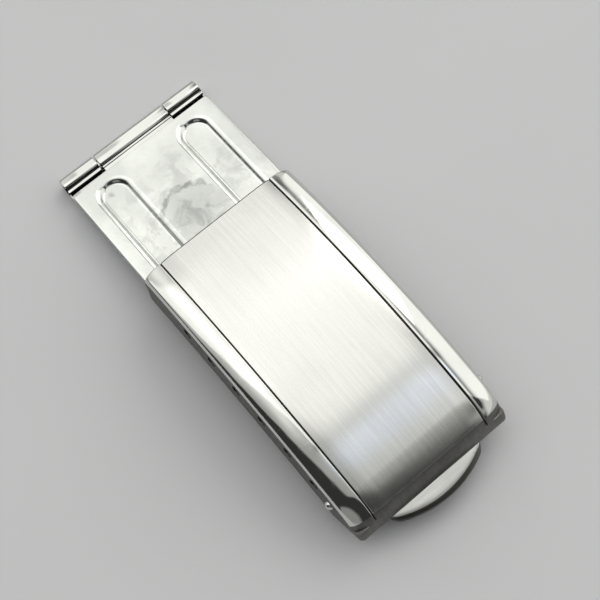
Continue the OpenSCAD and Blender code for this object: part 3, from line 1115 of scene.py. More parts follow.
        # Walls and inside take satin steel whose dark colour is painted shade; the groove and rim
        # finishes carry painted shade as well
        finishes = {Zone.PANEL: BRUSHED, Zone.GROOVE: GROOVE_SHADE, Zone.RAIL: MIRROR,
                    Zone.WALL: SATIN_SHADED, Zone.INSIDE: SATIN_SHADED, Zone.RIM: RIM_MATT_SHADED}
        made = {steel.name: steel.material() for steel in finishes.values()}
        materials = [made[finishes[zone].name] for zone in Zone]
        shell = self.shell(materials)
        self.pierce(shell, made[SATIN_SHADED.name])
        report(shell, "cover", ["cover"])
        lip = self.lip([LIP_SATIN_SHADED.material(), LIP_EDGE_SHADE.material()])
        report(lip, "cover", [])


def open_tree(name: str, inputs: dict[str, str]) -> Tree:
    """Starts a Geometry Nodes tree.

    Args:
        name: Its name.
        inputs: Its inputs, each with what its kind of socket is called.

    Returns:
        The tree, with its inputs and one output.
    """
    tree = bpy.data.node_groups.new(name, "GeometryNodeTree")
    tree.is_modifier = True
    for label, kind in inputs.items():
        tree.interface.new_socket(name=label, in_out="INPUT", socket_type="NodeSocket" + kind)
    tree.interface.new_socket(name="Geometry", in_out="OUTPUT", socket_type="NodeSocketGeometry")
    return tree


def on_circle(tree: Tree, angle: Node, radius: Socket,
              middle: tuple[float, float], waves: tuple[str, str]) -> Node:
    """Turns an angle into a place on a circle in X and Z.

    Args:
        tree: The tree that gets the nodes.
        angle: The angle.
        radius: Radius of the circle.
        middle: X and Z of its middle.
        waves: Sine or cosine, as operations, for X and for Z.

    Returns:
        The place, at Y = 0.
    """
    spots = []
    for wave, start in zip(waves, middle):
        swing = add(tree, MATH, (angle,), operation=wave)
        spots.append(add(tree, MATH, (swing, radius, start), operation="MULTIPLY_ADD"))
    return add(tree, "ShaderNodeCombineXYZ", {0: spots[0], 2: spots[1]})


def close_tree(tree: Tree, geometry: Node, material: Material) -> None:
    """Ends a Geometry Nodes tree.

    Args:
        tree: The tree.
        geometry: What it makes, still with its instances.
        material: The finish that it gets.
    """
    real = add(tree, "GeometryNodeRealizeInstances", (geometry,))
    painted = add(tree, "GeometryNodeSetMaterial", {"Geometry": real, "Material": material})
    add(tree, "NodeGroupOutput", (painted,))


def grown(name: str, tree: Tree, values: dict[str, Value], place: Placement) -> Object:
    """Grows a mesh from a node tree.

    Args:
        name: Name of the object.
        tree: Tree with no geometry input.
        values: Values of its named inputs.
        place: Carries the result into the shared frame.

    Returns:
        A plain mesh object at the origin.
    """
    holder = shown(name, bpy.data.meshes.new(name))
    modifier = holder.modifiers.new("grow", "NODES")
    modifier.node_group = tree
    sockets = {item.name: item.identifier for item in tree.interface.items_tree
               if item.in_out == "INPUT"}
    for key, value in values.items():
        modifier[sockets[key]] = value
    settle(holder)
    holder.data.transform(place.matrix)
    return holder


def settle(piece: Object) -> None:
    """Turns an object's modifiers into its plain mesh.

    Args:
        piece: The object, which keeps no modifier.
    """
    graph = bpy.context.evaluated_depsgraph_get()
    graph.update()
    mesh = bpy.data.meshes.new_from_object(piece.evaluated_get(graph), depsgraph=graph)
    piece.modifiers.clear()
    piece.data = mesh


def report(piece: Object, body: str, nodes: Sequence[str]) -> None:
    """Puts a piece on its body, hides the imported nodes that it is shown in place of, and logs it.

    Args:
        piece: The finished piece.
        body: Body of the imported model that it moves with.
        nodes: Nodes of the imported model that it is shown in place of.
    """
    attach(piece, body)
    if nodes:
        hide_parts(*nodes)
    log.info("%s rides on %s, %d faces", piece.name, body, len(piece.data.polygons))


def pulled_in(outline: Sequence[tuple[float, float]], inset: float) -> list[tuple[float, float]]:
    """Draws a closed outline in on all sides.

    Args:
        outline: Its points.
        inset: How far it is drawn in.

    Returns:
        As many points, in the same order.
    """
    count = len(outline)
    area = sum(outline[i - 1][0] * outline[i][1] - outline[i][0] * outline[i - 1][1]
               for i in range(count))
    side = 1.0 if area > 0 else -1.0
    done = []
    for i, (a, b) in enumerate(outline):
        back = Vector(outline[i - 1]) - Vector((a, b))
        ahead = Vector(outline[(i + 1) % count]) - Vector((a, b))
        inward = Vector((-ahead.y, ahead.x)).normalized() + Vector((back.y, -back.x)).normalized()
        inward = inward.normalized() * side if inward.length > 1e-6 else Vector((0.0, 0.0))
        done.append((a + inward.x * inset, b + inward.y * inset))
    return done


def bar_of(draft: Draft, outline: Sequence[Corner], first: float, last: float,
           bevel: float) -> None:
    """Adds a bar of constant outline across the strip, with eased ends.

    Args:
        draft: The piece that gets it.
        outline: Closed outline, X as depth and Z as across, with the finish of each face.
        first: Lowest distance from the mid plane.
        last: Highest distance from the mid plane.
        bevel: How far its ends are eased.
    """
    turns = even(0.0, math.pi / 2, 3)
    ends = [(bevel * (1 - math.cos(t)), bevel * (1 - math.sin(t))) for t in turns]
    places = [(first + run, inset) for run, inset in ends]
    places += [(last - run, inset) for run, inset in reversed(ends)]
    flat = [(c.depth, c.across) for c in outline]
    rows = [[(x, y, z) for x, z in pulled_in(flat, inset)] for y, inset in places]
    draft.add_skin(rows, [y for y, _ in places], lambda i, j: int(outline[j].zone))


def turned(draft: Draft, axis: tuple[float, float], section: Sequence[Corner],
           segments: int = 72) -> None:
    """Adds a turned body round a cross axis.

    Args:
        draft: The piece that gets it.
        axis: X and Z of the axis.
        section: Closed outline: radius as depth, distance from the mid plane as across.
        segments: Number of segments round the axis.
    """
    outline = soften(section)
    rows = []
    for i in range(segments):
        a = 2 * math.pi * i / segments
        rows.append([(axis[0] + c.depth * math.sin(a), c.across, axis[1] + c.depth * math.cos(a))
                     for c in outline])
    draft.add_skin(rows, [float(i) for i in range(segments)], lambda i, j: 0, joined=True)


class Dress(IntEnum):
    """Finishes of a blade, in the order of its material slots."""

    SHEET = 0
    ROLL = 1
    # DARK takes the groove finish: painted shade inside the slits and at the bore
    DARK = 2


@dataclass(frozen=True)
class Mark:
    """A corner pressed into a knuckle: its place, depth and easing, and the finish after it."""

    along: float
    depth: float
    ease: float
    dress: Dress = Dress.ROLL


@dataclass(frozen=True)
class Curl:
    """A knuckle made by curling the end of a sheet round a pin.

    Attributes:
        tab: How far the sheet is drawn from the pin.
        power: Power of its outer curve: 2 is a circle, more is squarer.
        stretch: How much further the curve reaches on the side away from the sheet.
        pressed: Corners pressed into the sheet just before it curls.
        end_marks: Corners of the sheet's end, if that is worked.
        end_gap: Angle left open between the sheet and its end, if that is plain.
    """

    outer_r: float
    bore_r: float
    tab: float
    sheet_t: float
    power: float = 2.0
    stretch: float = 1.0
    pressed: tuple[Mark, ...] = ()
    end_marks: tuple[Mark, ...] = ()
    end_gap: float = math.radians(18)
    dress: Dress = Dress.SHEET
    end_overlap: float = 0.2
    bore_clear: Band = (0.03, 0.06)
    inner_lead: float = 0.05
    outer_steps: int = 72
    bore_steps: int = 60

    def outer(self, angle: float) -> Corner:
        """Finds a point of the outer face.

        Args:
            angle: Angle about the pin, from the side of the sheet.

        Returns:
            The point, with X as depth and Z as across.
        """
        a, b = math.cos(angle), math.sin(angle)
        size = self.outer_r / (abs(a) ** self.power + abs(b) ** self.power) ** (1 / self.power)
        return Corner(size * a * (self.stretch if a < 0 else 1.0), size * b, 0.0, self.dress)

    def outline(self, axis: tuple[float, float], side: float = 1.0, facing: float = 1.0,
                lean: float = 0.0) -> list[Corner]:
        """Draws the knuckle in X and Z.

        Args:
            axis: X and Z of the pin.
            side: 1 if the sheet comes in over the pin, -1 if under it.
            facing: 1 if the sheet lies on the +X side, -1 if on the other.
            lean: Lean of the sheet towards +X, in radians.

        Returns:
            The closed outline, each point with the finish of the face that starts there.
        """
        top, bore, dress = self.outer_r, self.bore_r, self.dress
        corners = [Corner(self.tab, top - 0.02, 0.0, dress)]
        corners += [Corner(mark.along, top - mark.depth, mark.ease, mark.dress)
                    for mark in self.pressed]
        if self.end_marks:
            end = 1.5 * math.pi
            corners += [self.outer(a) for a in even(math.pi / 2, end, self.bore_steps)]
            corners += [Corner(mark.along, mark.depth - top, mark.ease, mark.dress)
                        for mark in self.end_marks]
            # The sheet's end where it leads into the bore is painted dark as shade
            corners.append(Corner(corners[-1].depth - 0.02, -bore, 0.04, Dress.DARK))
            end += self.end_overlap
        else:
            end = 2 * math.pi - self.end_gap
            corners += [self.outer(a) for a in even(math.pi / 2, end, self.outer_steps)]
        corners += [Corner(bore * math.cos(a), bore * math.sin(a), 0.0, dress)
                    for a in even(end + self.bore_clear[0], self.bore_clear[1], self.bore_steps)]
        corners += [Corner(bore + self.inner_lead, top - self.sheet_t, 0.03, dress),
                    Corner(self.tab, top - self.sheet_t, 0.0, dress)]
        done = []
        for c in soften(corners, 3, 0.0):
            x, z = facing * c.depth, side * c.across
            done.append(Corner(axis[0] + x * math.cos(lean) + z * math.sin(lean),
                               axis[1] - x * math.sin(lean) + z * math.cos(lean), 0.0, c.zone))
        return done


@dataclass(frozen=True)
class Blades:
    """The two blades that fold on each other, their knuckles and the fold pin.

    Attributes:
        tongue_w: Width of the blades under the cover.
        taper, taper_run: How much the plates narrow at their rolled ends, and over what length.
        channel_y: Distance of a channel's middle line from the mid plane.
        channel_out, channel_in: Where its two round ends are centred, away from and under the cover.
        channel_wall, channel_roll: How far its soft wall reaches inside and outside its outline.
        slow_depth, steep_depth, steep_run: Depth of the soft wall, and depth and run of the steep one.
        channel_crown: How far its floor rises again towards the middle.
        roll_marks, press_marks: Slit ends of the outer knuckles, and mark pressed into the centre one.
    """

    arch: Arch
    place: Placement
    blade_w: float = 16.0
    tongue_w: float = 15.2085
    taper: float = 0.02
    taper_run: float = 1.0
    shoulder_gap: float = 0.25
    shoulder_run: float = 0.02
    channel_w: float = 3.2
    channel_y: float = 4.75
    channel_out: float = 9.6
    channel_in: float = 4.8
    channel_wall: float = 0.55
    channel_roll: float = 0.45
    channel_crown: float = 0.05
    slow_depth: float = 0.26
    steep_run: float = 0.3
    steep_depth: float = 0.17
    edge_roll: float = 0.8
    edge_drop: float = 0.06
    edge_ease: float = 0.12
    edge_clear: float = 0.3
    filler_step: float = 0.01
    under_flat: float = 0.5
    upper_round: float = 0.3
    lower_round: float = 0.15
    fold_outer: float = 4.18
    fold_mid: float = 4.03
    fold_pin_r: float = 0.5
    fold_bevel: float = 0.07
    eye_bevel: float = 0.08
    run_clear: float = 0.05
    roll_power: float = 2.4
    roll_stretch: float = 1.235
    # Marks that end in Dress.DARK paint shade into the slits
    roll_marks: tuple[Mark, ...] = (
        Mark(0.20, 0.03, 0.08), Mark(0.30, 0.14, 0.04, Dress.DARK), Mark(0.33, 0.42, 0.03, Dress.DARK),
        Mark(0.52, 0.42, 0.03), Mark(0.55, 0.30, 0.03), Mark(0.84, 0.31, 0.06, Dress.DARK),
        Mark(0.88, 0.42, 0.02, Dress.DARK))
    press_marks: tuple[Mark, ...] = (
        Mark(1.12, 0.0, 0.02, Dress.DARK), Mark(1.09, 0.08, 0.01, Dress.DARK),
        Mark(1.05, 0.08, 0.01), Mark(1.02, 0.02, 0.03), Mark(0.82, 0.02, 0.04),
        Mark(0.80, 0.4, 0.02, Dress.DARK), Mark(0.64, 0.4, 0.02, Dress.DARK),
        Mark(0.62, 0.16, 0.03), Mark(0.44, 0.01, 0.08))
    top_bands: tuple[tuple[float, float, int], ...] = ((0.0, 2.4, 5), (2.6, 6.95, 58),
                                                       (7.05, 7.25, 1))
    end_places: tuple[float, ...] = (0.0, 0.02, 0.05, 0.1, 0.2, 0.35)
    bar_eye_r: float = 1.4
    bar_bore_r: float = 0.8
    bar_eye_tab: float = 1.7
    bar_eye_half: float = 6.5636
    bracelet_half: float = 6.904
    bracelet_gap_half: float = 3.504
    bracelet_out: float = 1.9
    bracelet_drop: float = 0.7
    bracelet_bore_r: float = 0.5

    def channel(self, x: float, y: float) -> float:
        """Finds how deep the top face lies in the pressed channels.

        Args:
            x: Place along the blade.
            y: Distance from the mid plane.

        Returns:
            The depth, 0 outside the channels.
        """
        run = min(max(x, -self.channel_out), self.channel_in)
        inside = self.channel_w / 2 - math.hypot(x - run, abs(y) - self.channel_y)
        slow = smooth((inside + self.channel_roll) / (self.channel_wall + self.channel_roll))
        steep = smooth(inside / self.steep_run)
        rest = smooth((inside - self.channel_wall) / (self.channel_w / 2 - self.channel_wall))
        return self.slow_depth * slow + self.steep_depth * steep - self.channel_crown * rest

    def half_width(self, x: float) -> float:
        """Finds half the width of a blade.

        Args:
            x: Place along it.

        Returns:
            Half its width there.
        """
        if x > -self.shoulder_gap:
            return self.tongue_w / 2
        near = max(1 - (x + self.arch.blade_reach) / self.taper_run, 0.0)
        return self.blade_w / 2 - self.taper * near * near

    def half(self, half_w: float, top: Callable[[float], float],
             across: Sequence[float]) -> list[Corner]:
        """Draws half an outline of a sheet.

        Args:
            half_w: Half its width.
            top: Gives the depth of its top face at a distance from the mid plane.
            across: Distances at which the top face is sampled.

        Returns:
            The corners, as many at every width.
        """
        half = [Corner(top(y), y) for y in across if y < half_w - self.edge_clear]
        while len(half) < len(across):
            step = (len(half) - len(across)) * self.filler_step
            half.append(Corner(top(half_w), half_w - self.edge_ease - 0.1 + step))
        thick = self.arch.blade_t
        half += [Corner(top(half_w), half_w, self.edge_ease), Corner(thick, half_w, self.edge_ease),
                 Corner(thick, half_w - self.under_flat), Corner(thick, 0.0)]
        return half

    def upper_stations(self) -> list[Station]:
        """Places the stations of the upper blade, closest where the channels end.

        Returns:
            The stations, from the rolled end to the eye of the bar.
        """
        arch = self.arch
        out, shoulder = -self.channel_out, -self.shoulder_gap
        places = [run - arch.blade_reach for run in self.end_places]
        places += even(out - self.channel_w / 2 - 0.6, out + 1.2, 50)
        places += even(out + 1.5, shoulder - 0.3, 18)
        places += [shoulder - self.shoulder_run, shoulder + self.shoulder_run]
        places += even(0.2, self.channel_in - 0.2, 10)
        places += even(self.channel_in, self.channel_in + self.channel_w / 2 + 0.5, 24)
        bent = arc_stations(arch.centre, arch.upper_radius, 0.0,
                            arch.bar_angle - 1.25 / arch.upper_radius, 22, arch.crown_x)
        return flat_stations(places) + bent

    def upper(self, materials: Sequence[Material]) -> Object:
        """Builds the upper blade with its channels, its fold knuckle and the eye of the bar.

        Args:
            materials: One finish for each kind of dress.

        Returns:
            The blade.
        """
        arch = self.arch
        across = [y for band in self.top_bands for y in even(*band)]
        rows, along = [], []
        for station in self.upper_stations():
            half_w = self.half_width(station.along)
            lag = rounding(self.upper_round, station.along + arch.blade_reach)

            def top(y: float, x: float = station.along, w: float = half_w, back: float = lag) -> float:
                """Returns the depth of the top face at a distance from the mid plane."""
                roll = max(abs(y) - (w - self.edge_roll), 0.0) / self.edge_roll
                return self.channel(x, y) + self.edge_drop * roll * roll + self.upper_round * back

            outline = soften(mirrored(self.half(half_w, top, across)), 3)
            rows.append([station.point(c.depth, c.across) for c in outline])
            along.append(station.along)
        draft = Draft()
        draft.add_skin(rows, along, lambda i, j: Dress.SHEET)
        knuckle = Curl(arch.knuckle_r, self.fold_pin_r + self.run_clear,
                       arch.knuckle_r + arch.fold_gap + 0.08, arch.blade_t,
                       self.roll_power, self.roll_stretch, self.press_marks, dress=Dress.ROLL)
        bar_of(draft, knuckle.outline(arch.fold), -self.fold_mid, self.fold_mid, self.fold_bevel)
        eye = Curl(self.bar_eye_r, self.bar_bore_r, self.bar_eye_tab, arch.blade_t)
        bar_of(draft, eye.outline(arch.bar, -1.0, -1.0, arch.bar_angle), -self.bar_eye_half,
               self.bar_eye_half, self.eye_bevel)
        return draft.finish("upper_blade_sheet", self.place, materials)

    def lower(self, materials: Sequence[Material]) -> Object:
        """Builds the lower blade with its fold knuckles and its bracelet knuckles.

        Args:
            materials: One finish for each kind of dress.

        Returns:
            The blade.
        """
        arch = self.arch
        top_z = -arch.blade_t - arch.blade_gap
        bracelet_r = arch.lower_radius - self.bracelet_drop
        bracelet_x = arch.bar[0] + self.bracelet_out
        angle = math.asin((bracelet_x - arch.centre[0]) / bracelet_r)
        bracelet = arch.on_arch(bracelet_r, angle)
        fork = angle - (arch.knuckle_r + arch.blade_t) / bracelet_r
        first, shoulder = -arch.blade_reach, -self.shoulder_gap
        places = [first, first + 0.03, first + 0.08, first + 0.15] + even(first + 0.4, -0.6, 24)
        places += [shoulder - self.shoulder_run, shoulder + self.shoulder_run] + even(0.2, 7.0, 10)
        flat = [Station(x, top_z, 0.0, x) for x in places]
        bent = arc_stations(arch.centre, arch.lower_radius, 0.0, fork, 36, arch.crown_x)
        across = even(0.0, 7.2, 8)
        rows, along = [], []
        for station in flat + bent:
            half_w = self.half_width(station.along)
            if station.lean > 0:
                half_w = self.bracelet_half
            near_end = max(self.lower_round - (station.along + arch.blade_reach), 0.0)

            def top(y: float, w: float = half_w, n: float = near_end) -> float:
                """Returns the depth of the top face at a distance from the mid plane."""
                roll = max(abs(y) - (w - self.edge_roll), 0.0) / self.edge_roll
                return 0.5 * self.edge_drop * roll * roll + n * n * 2

            samples = [y * half_w / (self.blade_w / 2) for y in across]
            outline = soften(mirrored(self.half(half_w, top, samples)), 3)
            rows.append([station.point(c.depth, c.across) for c in outline])
            along.append(station.along)
        draft = Draft()
        draft.add_skin(rows, along, lambda i, j: Dress.SHEET)
        knuckle = Curl(arch.knuckle_r, self.fold_pin_r + 0.01, arch.knuckle_r + arch.fold_gap + 0.1,
                       arch.blade_t, self.roll_power, self.roll_stretch, (), self.roll_marks,
                       dress=Dress.ROLL)
        outline = knuckle.outline(arch.fold, -1.0)
        edge = self.blade_w / 2
        for low, high in ((-edge, -self.fold_outer), (self.fold_outer, edge)):
            bar_of(draft, outline, low, high, self.fold_bevel)
        self._bracelet_prongs(draft, bracelet, fork, angle)
        return draft.finish("lower_blade_sheet", self.place, materials)

    def _bracelet_prongs(self, draft: Draft, axis: tuple[float, float], fork: float,
                         angle: float) -> None:
        """Adds the two prongs and eyes that take the bracelet's pin.

        Args:
            draft: The blade.
            axis: X and Z of the pin.
            fork: Angle on the arch at which the prongs start.
            angle: Angle on the arch of the pin.
        """
        arch = self.arch
        low, high, ease = self.bracelet_gap_half, self.bracelet_half, self.eye_bevel
        stop = angle - 0.58 / arch.lower_radius
        stations = arc_stations(arch.centre, arch.lower_radius, fork - 0.003, stop, 8, 0.0)
        for side in (-1, 1):
            section = [Corner(0.0, side * low, ease), Corner(0.0, side * high, ease),
                       Corner(arch.blade_t, side * high, ease), Corner(arch.blade_t, side * low, ease)]
            rows = [[s.point(c.depth, c.across) for c in soften(section)] for s in stations]
            draft.add_skin(rows, [s.along for s in stations], lambda i, j: Dress.SHEET)
            eye = [Corner(arch.knuckle_r, side * low, ease), Corner(arch.knuckle_r, side * high, ease),
                   Corner(self.bracelet_bore_r, side * high, 0.06),
                   Corner(self.bracelet_bore_r, side * low, 0.06)]
            turned(draft, axis, eye)

    def pin(self, material: Material) -> Object:
        """Builds the fold pin with its lightly domed ends.

        Args:
            material: Its finish.

        Returns:
            The pin.
        """
        half_w = self.blade_w / 2 - self.run_clear
        section = [Corner(0.0, -half_w), Corner(0.55 * self.fold_pin_r, -half_w + 0.03, 0.15),
                   Corner(self.fold_pin_r, -half_w + 0.14, 0.12),
                   Corner(self.fold_pin_r, half_w - 0.14, 0.12),
                   Corner(0.55 * self.fold_pin_r, half_w - 0.03, 0.15), Corner(0.0, half_w)]
        draft = Draft()
        turned(draft, self.arch.fold, section, 48)
        return draft.finish("fold_hinge_pin", self.place, [material])

    def build(self) -> None:
        """Builds and dresses both blades and the pin."""
        # The groove finish carries the painted shade of the slits
        scuffed, mirror, dark = SCUFFED.material(), MIRROR.material(), GROOVE_SHADE.material()
        report(self.upper([scuffed, mirror, dark]), "upper", ["upper_blade"])
        report(self.lower([POLISHED.material(), mirror, dark]), "lower", ["lower_blade"])
        report(self.pin(mirror), "lower", ["fold_pin"])


@dataclass(frozen=True)
class HingeBar:
    """The sprung bar that hinges the cover: sleeve, spring and two sliding tips.

    Attributes:
        sleeve_half: Half the length of the sleeve.
        crimp_r, crimp_len: Radius and length of its narrowed mouths, which hold the tips in.
        head_r, head_len, head_in: Head of a tip inside the sleeve, and how far it lies in.
        closed_turns: Turns at each end of the spring that lie on each other.
        wire_pitch: Pitch of those turns, in radii of the wire.
    """

    arch: Arch
    place: Placement
    sleeve_half: float = 6.5036
    sleeve_r: float = 0.75
    bore_r: float = 0.5
    crimp_r: float = 0.44
    crimp_len: float = 0.3
    head_r: float = 0.46
    head_len: float = 0.4
    head_in: float = 0.6
    stem_r: float = 0.4
    collar_r: float = 0.62
    collar_len: float = 0.18
    collar_start: float = 7.5536
    tip_r: float = 0.46
    tip_end: float = 8.7
    wire_r: float = 0.07
    turns: int = 16
    closed_turns: float = 1.5
    wire_pitch: float = 2.1
    wire_sides: int = 10
    coil_points: int = 480

    @property
    def head_inner(self) -> float:
        """Inner face of the head of a tip."""
        return self.sleeve_half - self.crimp_len - self.head_in - self.head_len

    def sleeve(self, material: Material) -> Object:
        """Builds the sleeve with its two crimped mouths.

        Args:
            material: Its finish.

        Returns:
            The sleeve.
        """
        end, mouth = self.sleeve_half, self.sleeve_half - self.crimp_len
        section = [Corner(self.crimp_r, -end, 0.04), Corner(self.sleeve_r, -end, 0.1),
                   Corner(self.sleeve_r, end, 0.1), Corner(self.crimp_r, end, 0.04),
                   Corner(self.crimp_r, mouth, 0.02), Corner(self.bore_r, mouth, 0.02),
                   Corner(self.bore_r, -mouth, 0.02), Corner(self.crimp_r, -mouth, 0.02)]
        draft = Draft()
        turned(draft, self.arch.bar, section, 64)
        return draft.finish("bar_sleeve", self.place, [material])

    def tip(self, side: int, material: Material) -> Object:
        """Builds one sliding tip with head, stem, collar and rounded end.

        Args:
            side: 1 for the tip on the +Y side, -1 for the other.
            material: Its finish.

        Returns:
            The tip.
        """
        inner, outer = self.head_inner, self.head_inner + self.head_len
        start, stop = self.collar_start, self.collar_start + self.collar_len
        body = [(0.0, inner, 0.0), (self.head_r, inner, 0.05), (self.head_r, outer, 0.05),
                (self.stem_r, outer, 0.02), (self.stem_r, start, 0.02), (self.collar_r, start, 0.05),
                (self.collar_r, stop, 0.05), (self.tip_r, stop, 0.02)]
        dome = [(self.tip_r * math.cos(a), self.tip_end - self.tip_r * (1 - math.sin(a)), 0.0)
                for a in even(0.0, math.pi / 2, 12)]
        section = [Corner(r, side * y, ease) for r, y, ease in body + dome]
        draft = Draft()
        turned(draft, self.arch.bar, section, 64)
        return draft.finish("bar_tip_left" if side > 0 else "bar_tip_right", self.place, [material])

    def coil_tree(self, material: Material) -> Tree:
        """Builds the node tree that winds the spring.

        Args:
            material: Finish of the wire.

        Returns:
            The tree.
        """
        tree = open_tree("wound_spring", {
            "Turns": "Float", "Closed turns": "Float", "Coil radius": "Float",
            "Wire radius": "Float", "Half length": "Float"})
        given = add(tree, "NodeGroupInput").outputs
        turns, closed, half = given["Turns"], given["Closed turns"], given["Half length"]
        pitch = add(tree, MATH, (given["Wire radius"], self.wire_pitch), operation="MULTIPLY")
        seat = add(tree, MATH, (closed, pitch), operation="MULTIPLY")
        open_half = add(tree, MATH, (half, seat), operation="SUBTRACT")
        open_length = add(tree, MATH, (open_half, 2.0), operation="MULTIPLY")
        open_pitch = add(tree, MATH, (open_length, turns), operation="DIVIDE")
        line = add(tree, "GeometryNodeCurvePrimitiveLine", {"Start": (0.0, 0.0, 0.0),
                                                            "End": (0.0, 1.0, 0.0)})
        fine = add(tree, "GeometryNodeResampleCurve", {"Curve": line, "Count": self.coil_points})
        share = add(tree, "GeometryNodeSplineParameter").outputs["Factor"]
        all_turns = add(tree, MATH, (closed, 2.0, turns), operation="MULTIPLY_ADD")
        turn = add(tree, MATH, (share, all_turns), operation="MULTIPLY")
        angle = add(tree, MATH, (turn, 2 * math.pi), operation="MULTIPLY")
        in_first = add(tree, MATH, (turn, closed), operation="MINIMUM")
        past = add(tree, MATH, (turn, closed), operation="SUBTRACT")
        past_start = add(tree, MATH, (past, 0.0), operation="MAXIMUM")
        in_open = add(tree, MATH, (past_start, turns), operation="MINIMUM")
        past_open = add(tree, MATH, (past, turns), operation="SUBTRACT")
        in_last = add(tree, MATH, (past_open, 0.0), operation="MAXIMUM")
        in_closed = add(tree, MATH, (in_first, in_last), operation="ADD")
        reach = add(tree, MATH, (in_closed, pitch), operation="MULTIPLY")
        reach = add(tree, MATH, (in_open, open_pitch, reach), operation="MULTIPLY_ADD")
        y = add(tree, MATH, (reach, half), operation="SUBTRACT")
        ring_spot = on_circle(tree, angle, given["Coil radius"], self.arch.bar, ("COSINE", "SINE"))
        across = add(tree, "ShaderNodeCombineXYZ", {1: y})
        spot = add(tree, "ShaderNodeVectorMath", (ring_spot, across), operation="ADD")
        wound = add(tree, "GeometryNodeSetPosition", {"Geometry": fine, "Position": spot})
        ring = add(tree, "GeometryNodeCurvePrimitiveCircle", {"Resolution": self.wire_sides,
                                                              "Radius": given["Wire radius"]})
        wire = add(tree, "GeometryNodeCurveToMesh", {"Curve": wound, "Profile Curve": ring,
                                                     "Fill Caps": True})
        close_tree(tree, wire, material)
        return tree

    def spring(self, material: Material) -> Object:
        """Builds the spring between the heads of the two tips.

        Args:
            material: Finish of the wire.

        Returns:
            The spring.
        """
        coil = grown("bar_spring", self.coil_tree(material),
                     {"Turns": float(self.turns), "Closed turns": self.closed_turns,
                      "Coil radius": self.head_r - self.wire_r, "Wire radius": self.wire_r,
                      "Half length": self.head_inner - self.wire_r}, self.place)
        outward(coil.data)
        return coil

    def build(self) -> None:
        """Builds and dresses the four parts of the bar."""
        mirror = MIRROR.material()
        report(self.sleeve(mirror), "upper", ["hinge_bar_sleeve"])
        report(self.spring(WIRE.material()), "upper", ["hinge_bar_spring"])
        report(self.tip(1, mirror), "tip_left", ["hinge_bar_tip_left"])
        report(self.tip(-1, mirror), "tip_right", ["hinge_bar_tip_right"])


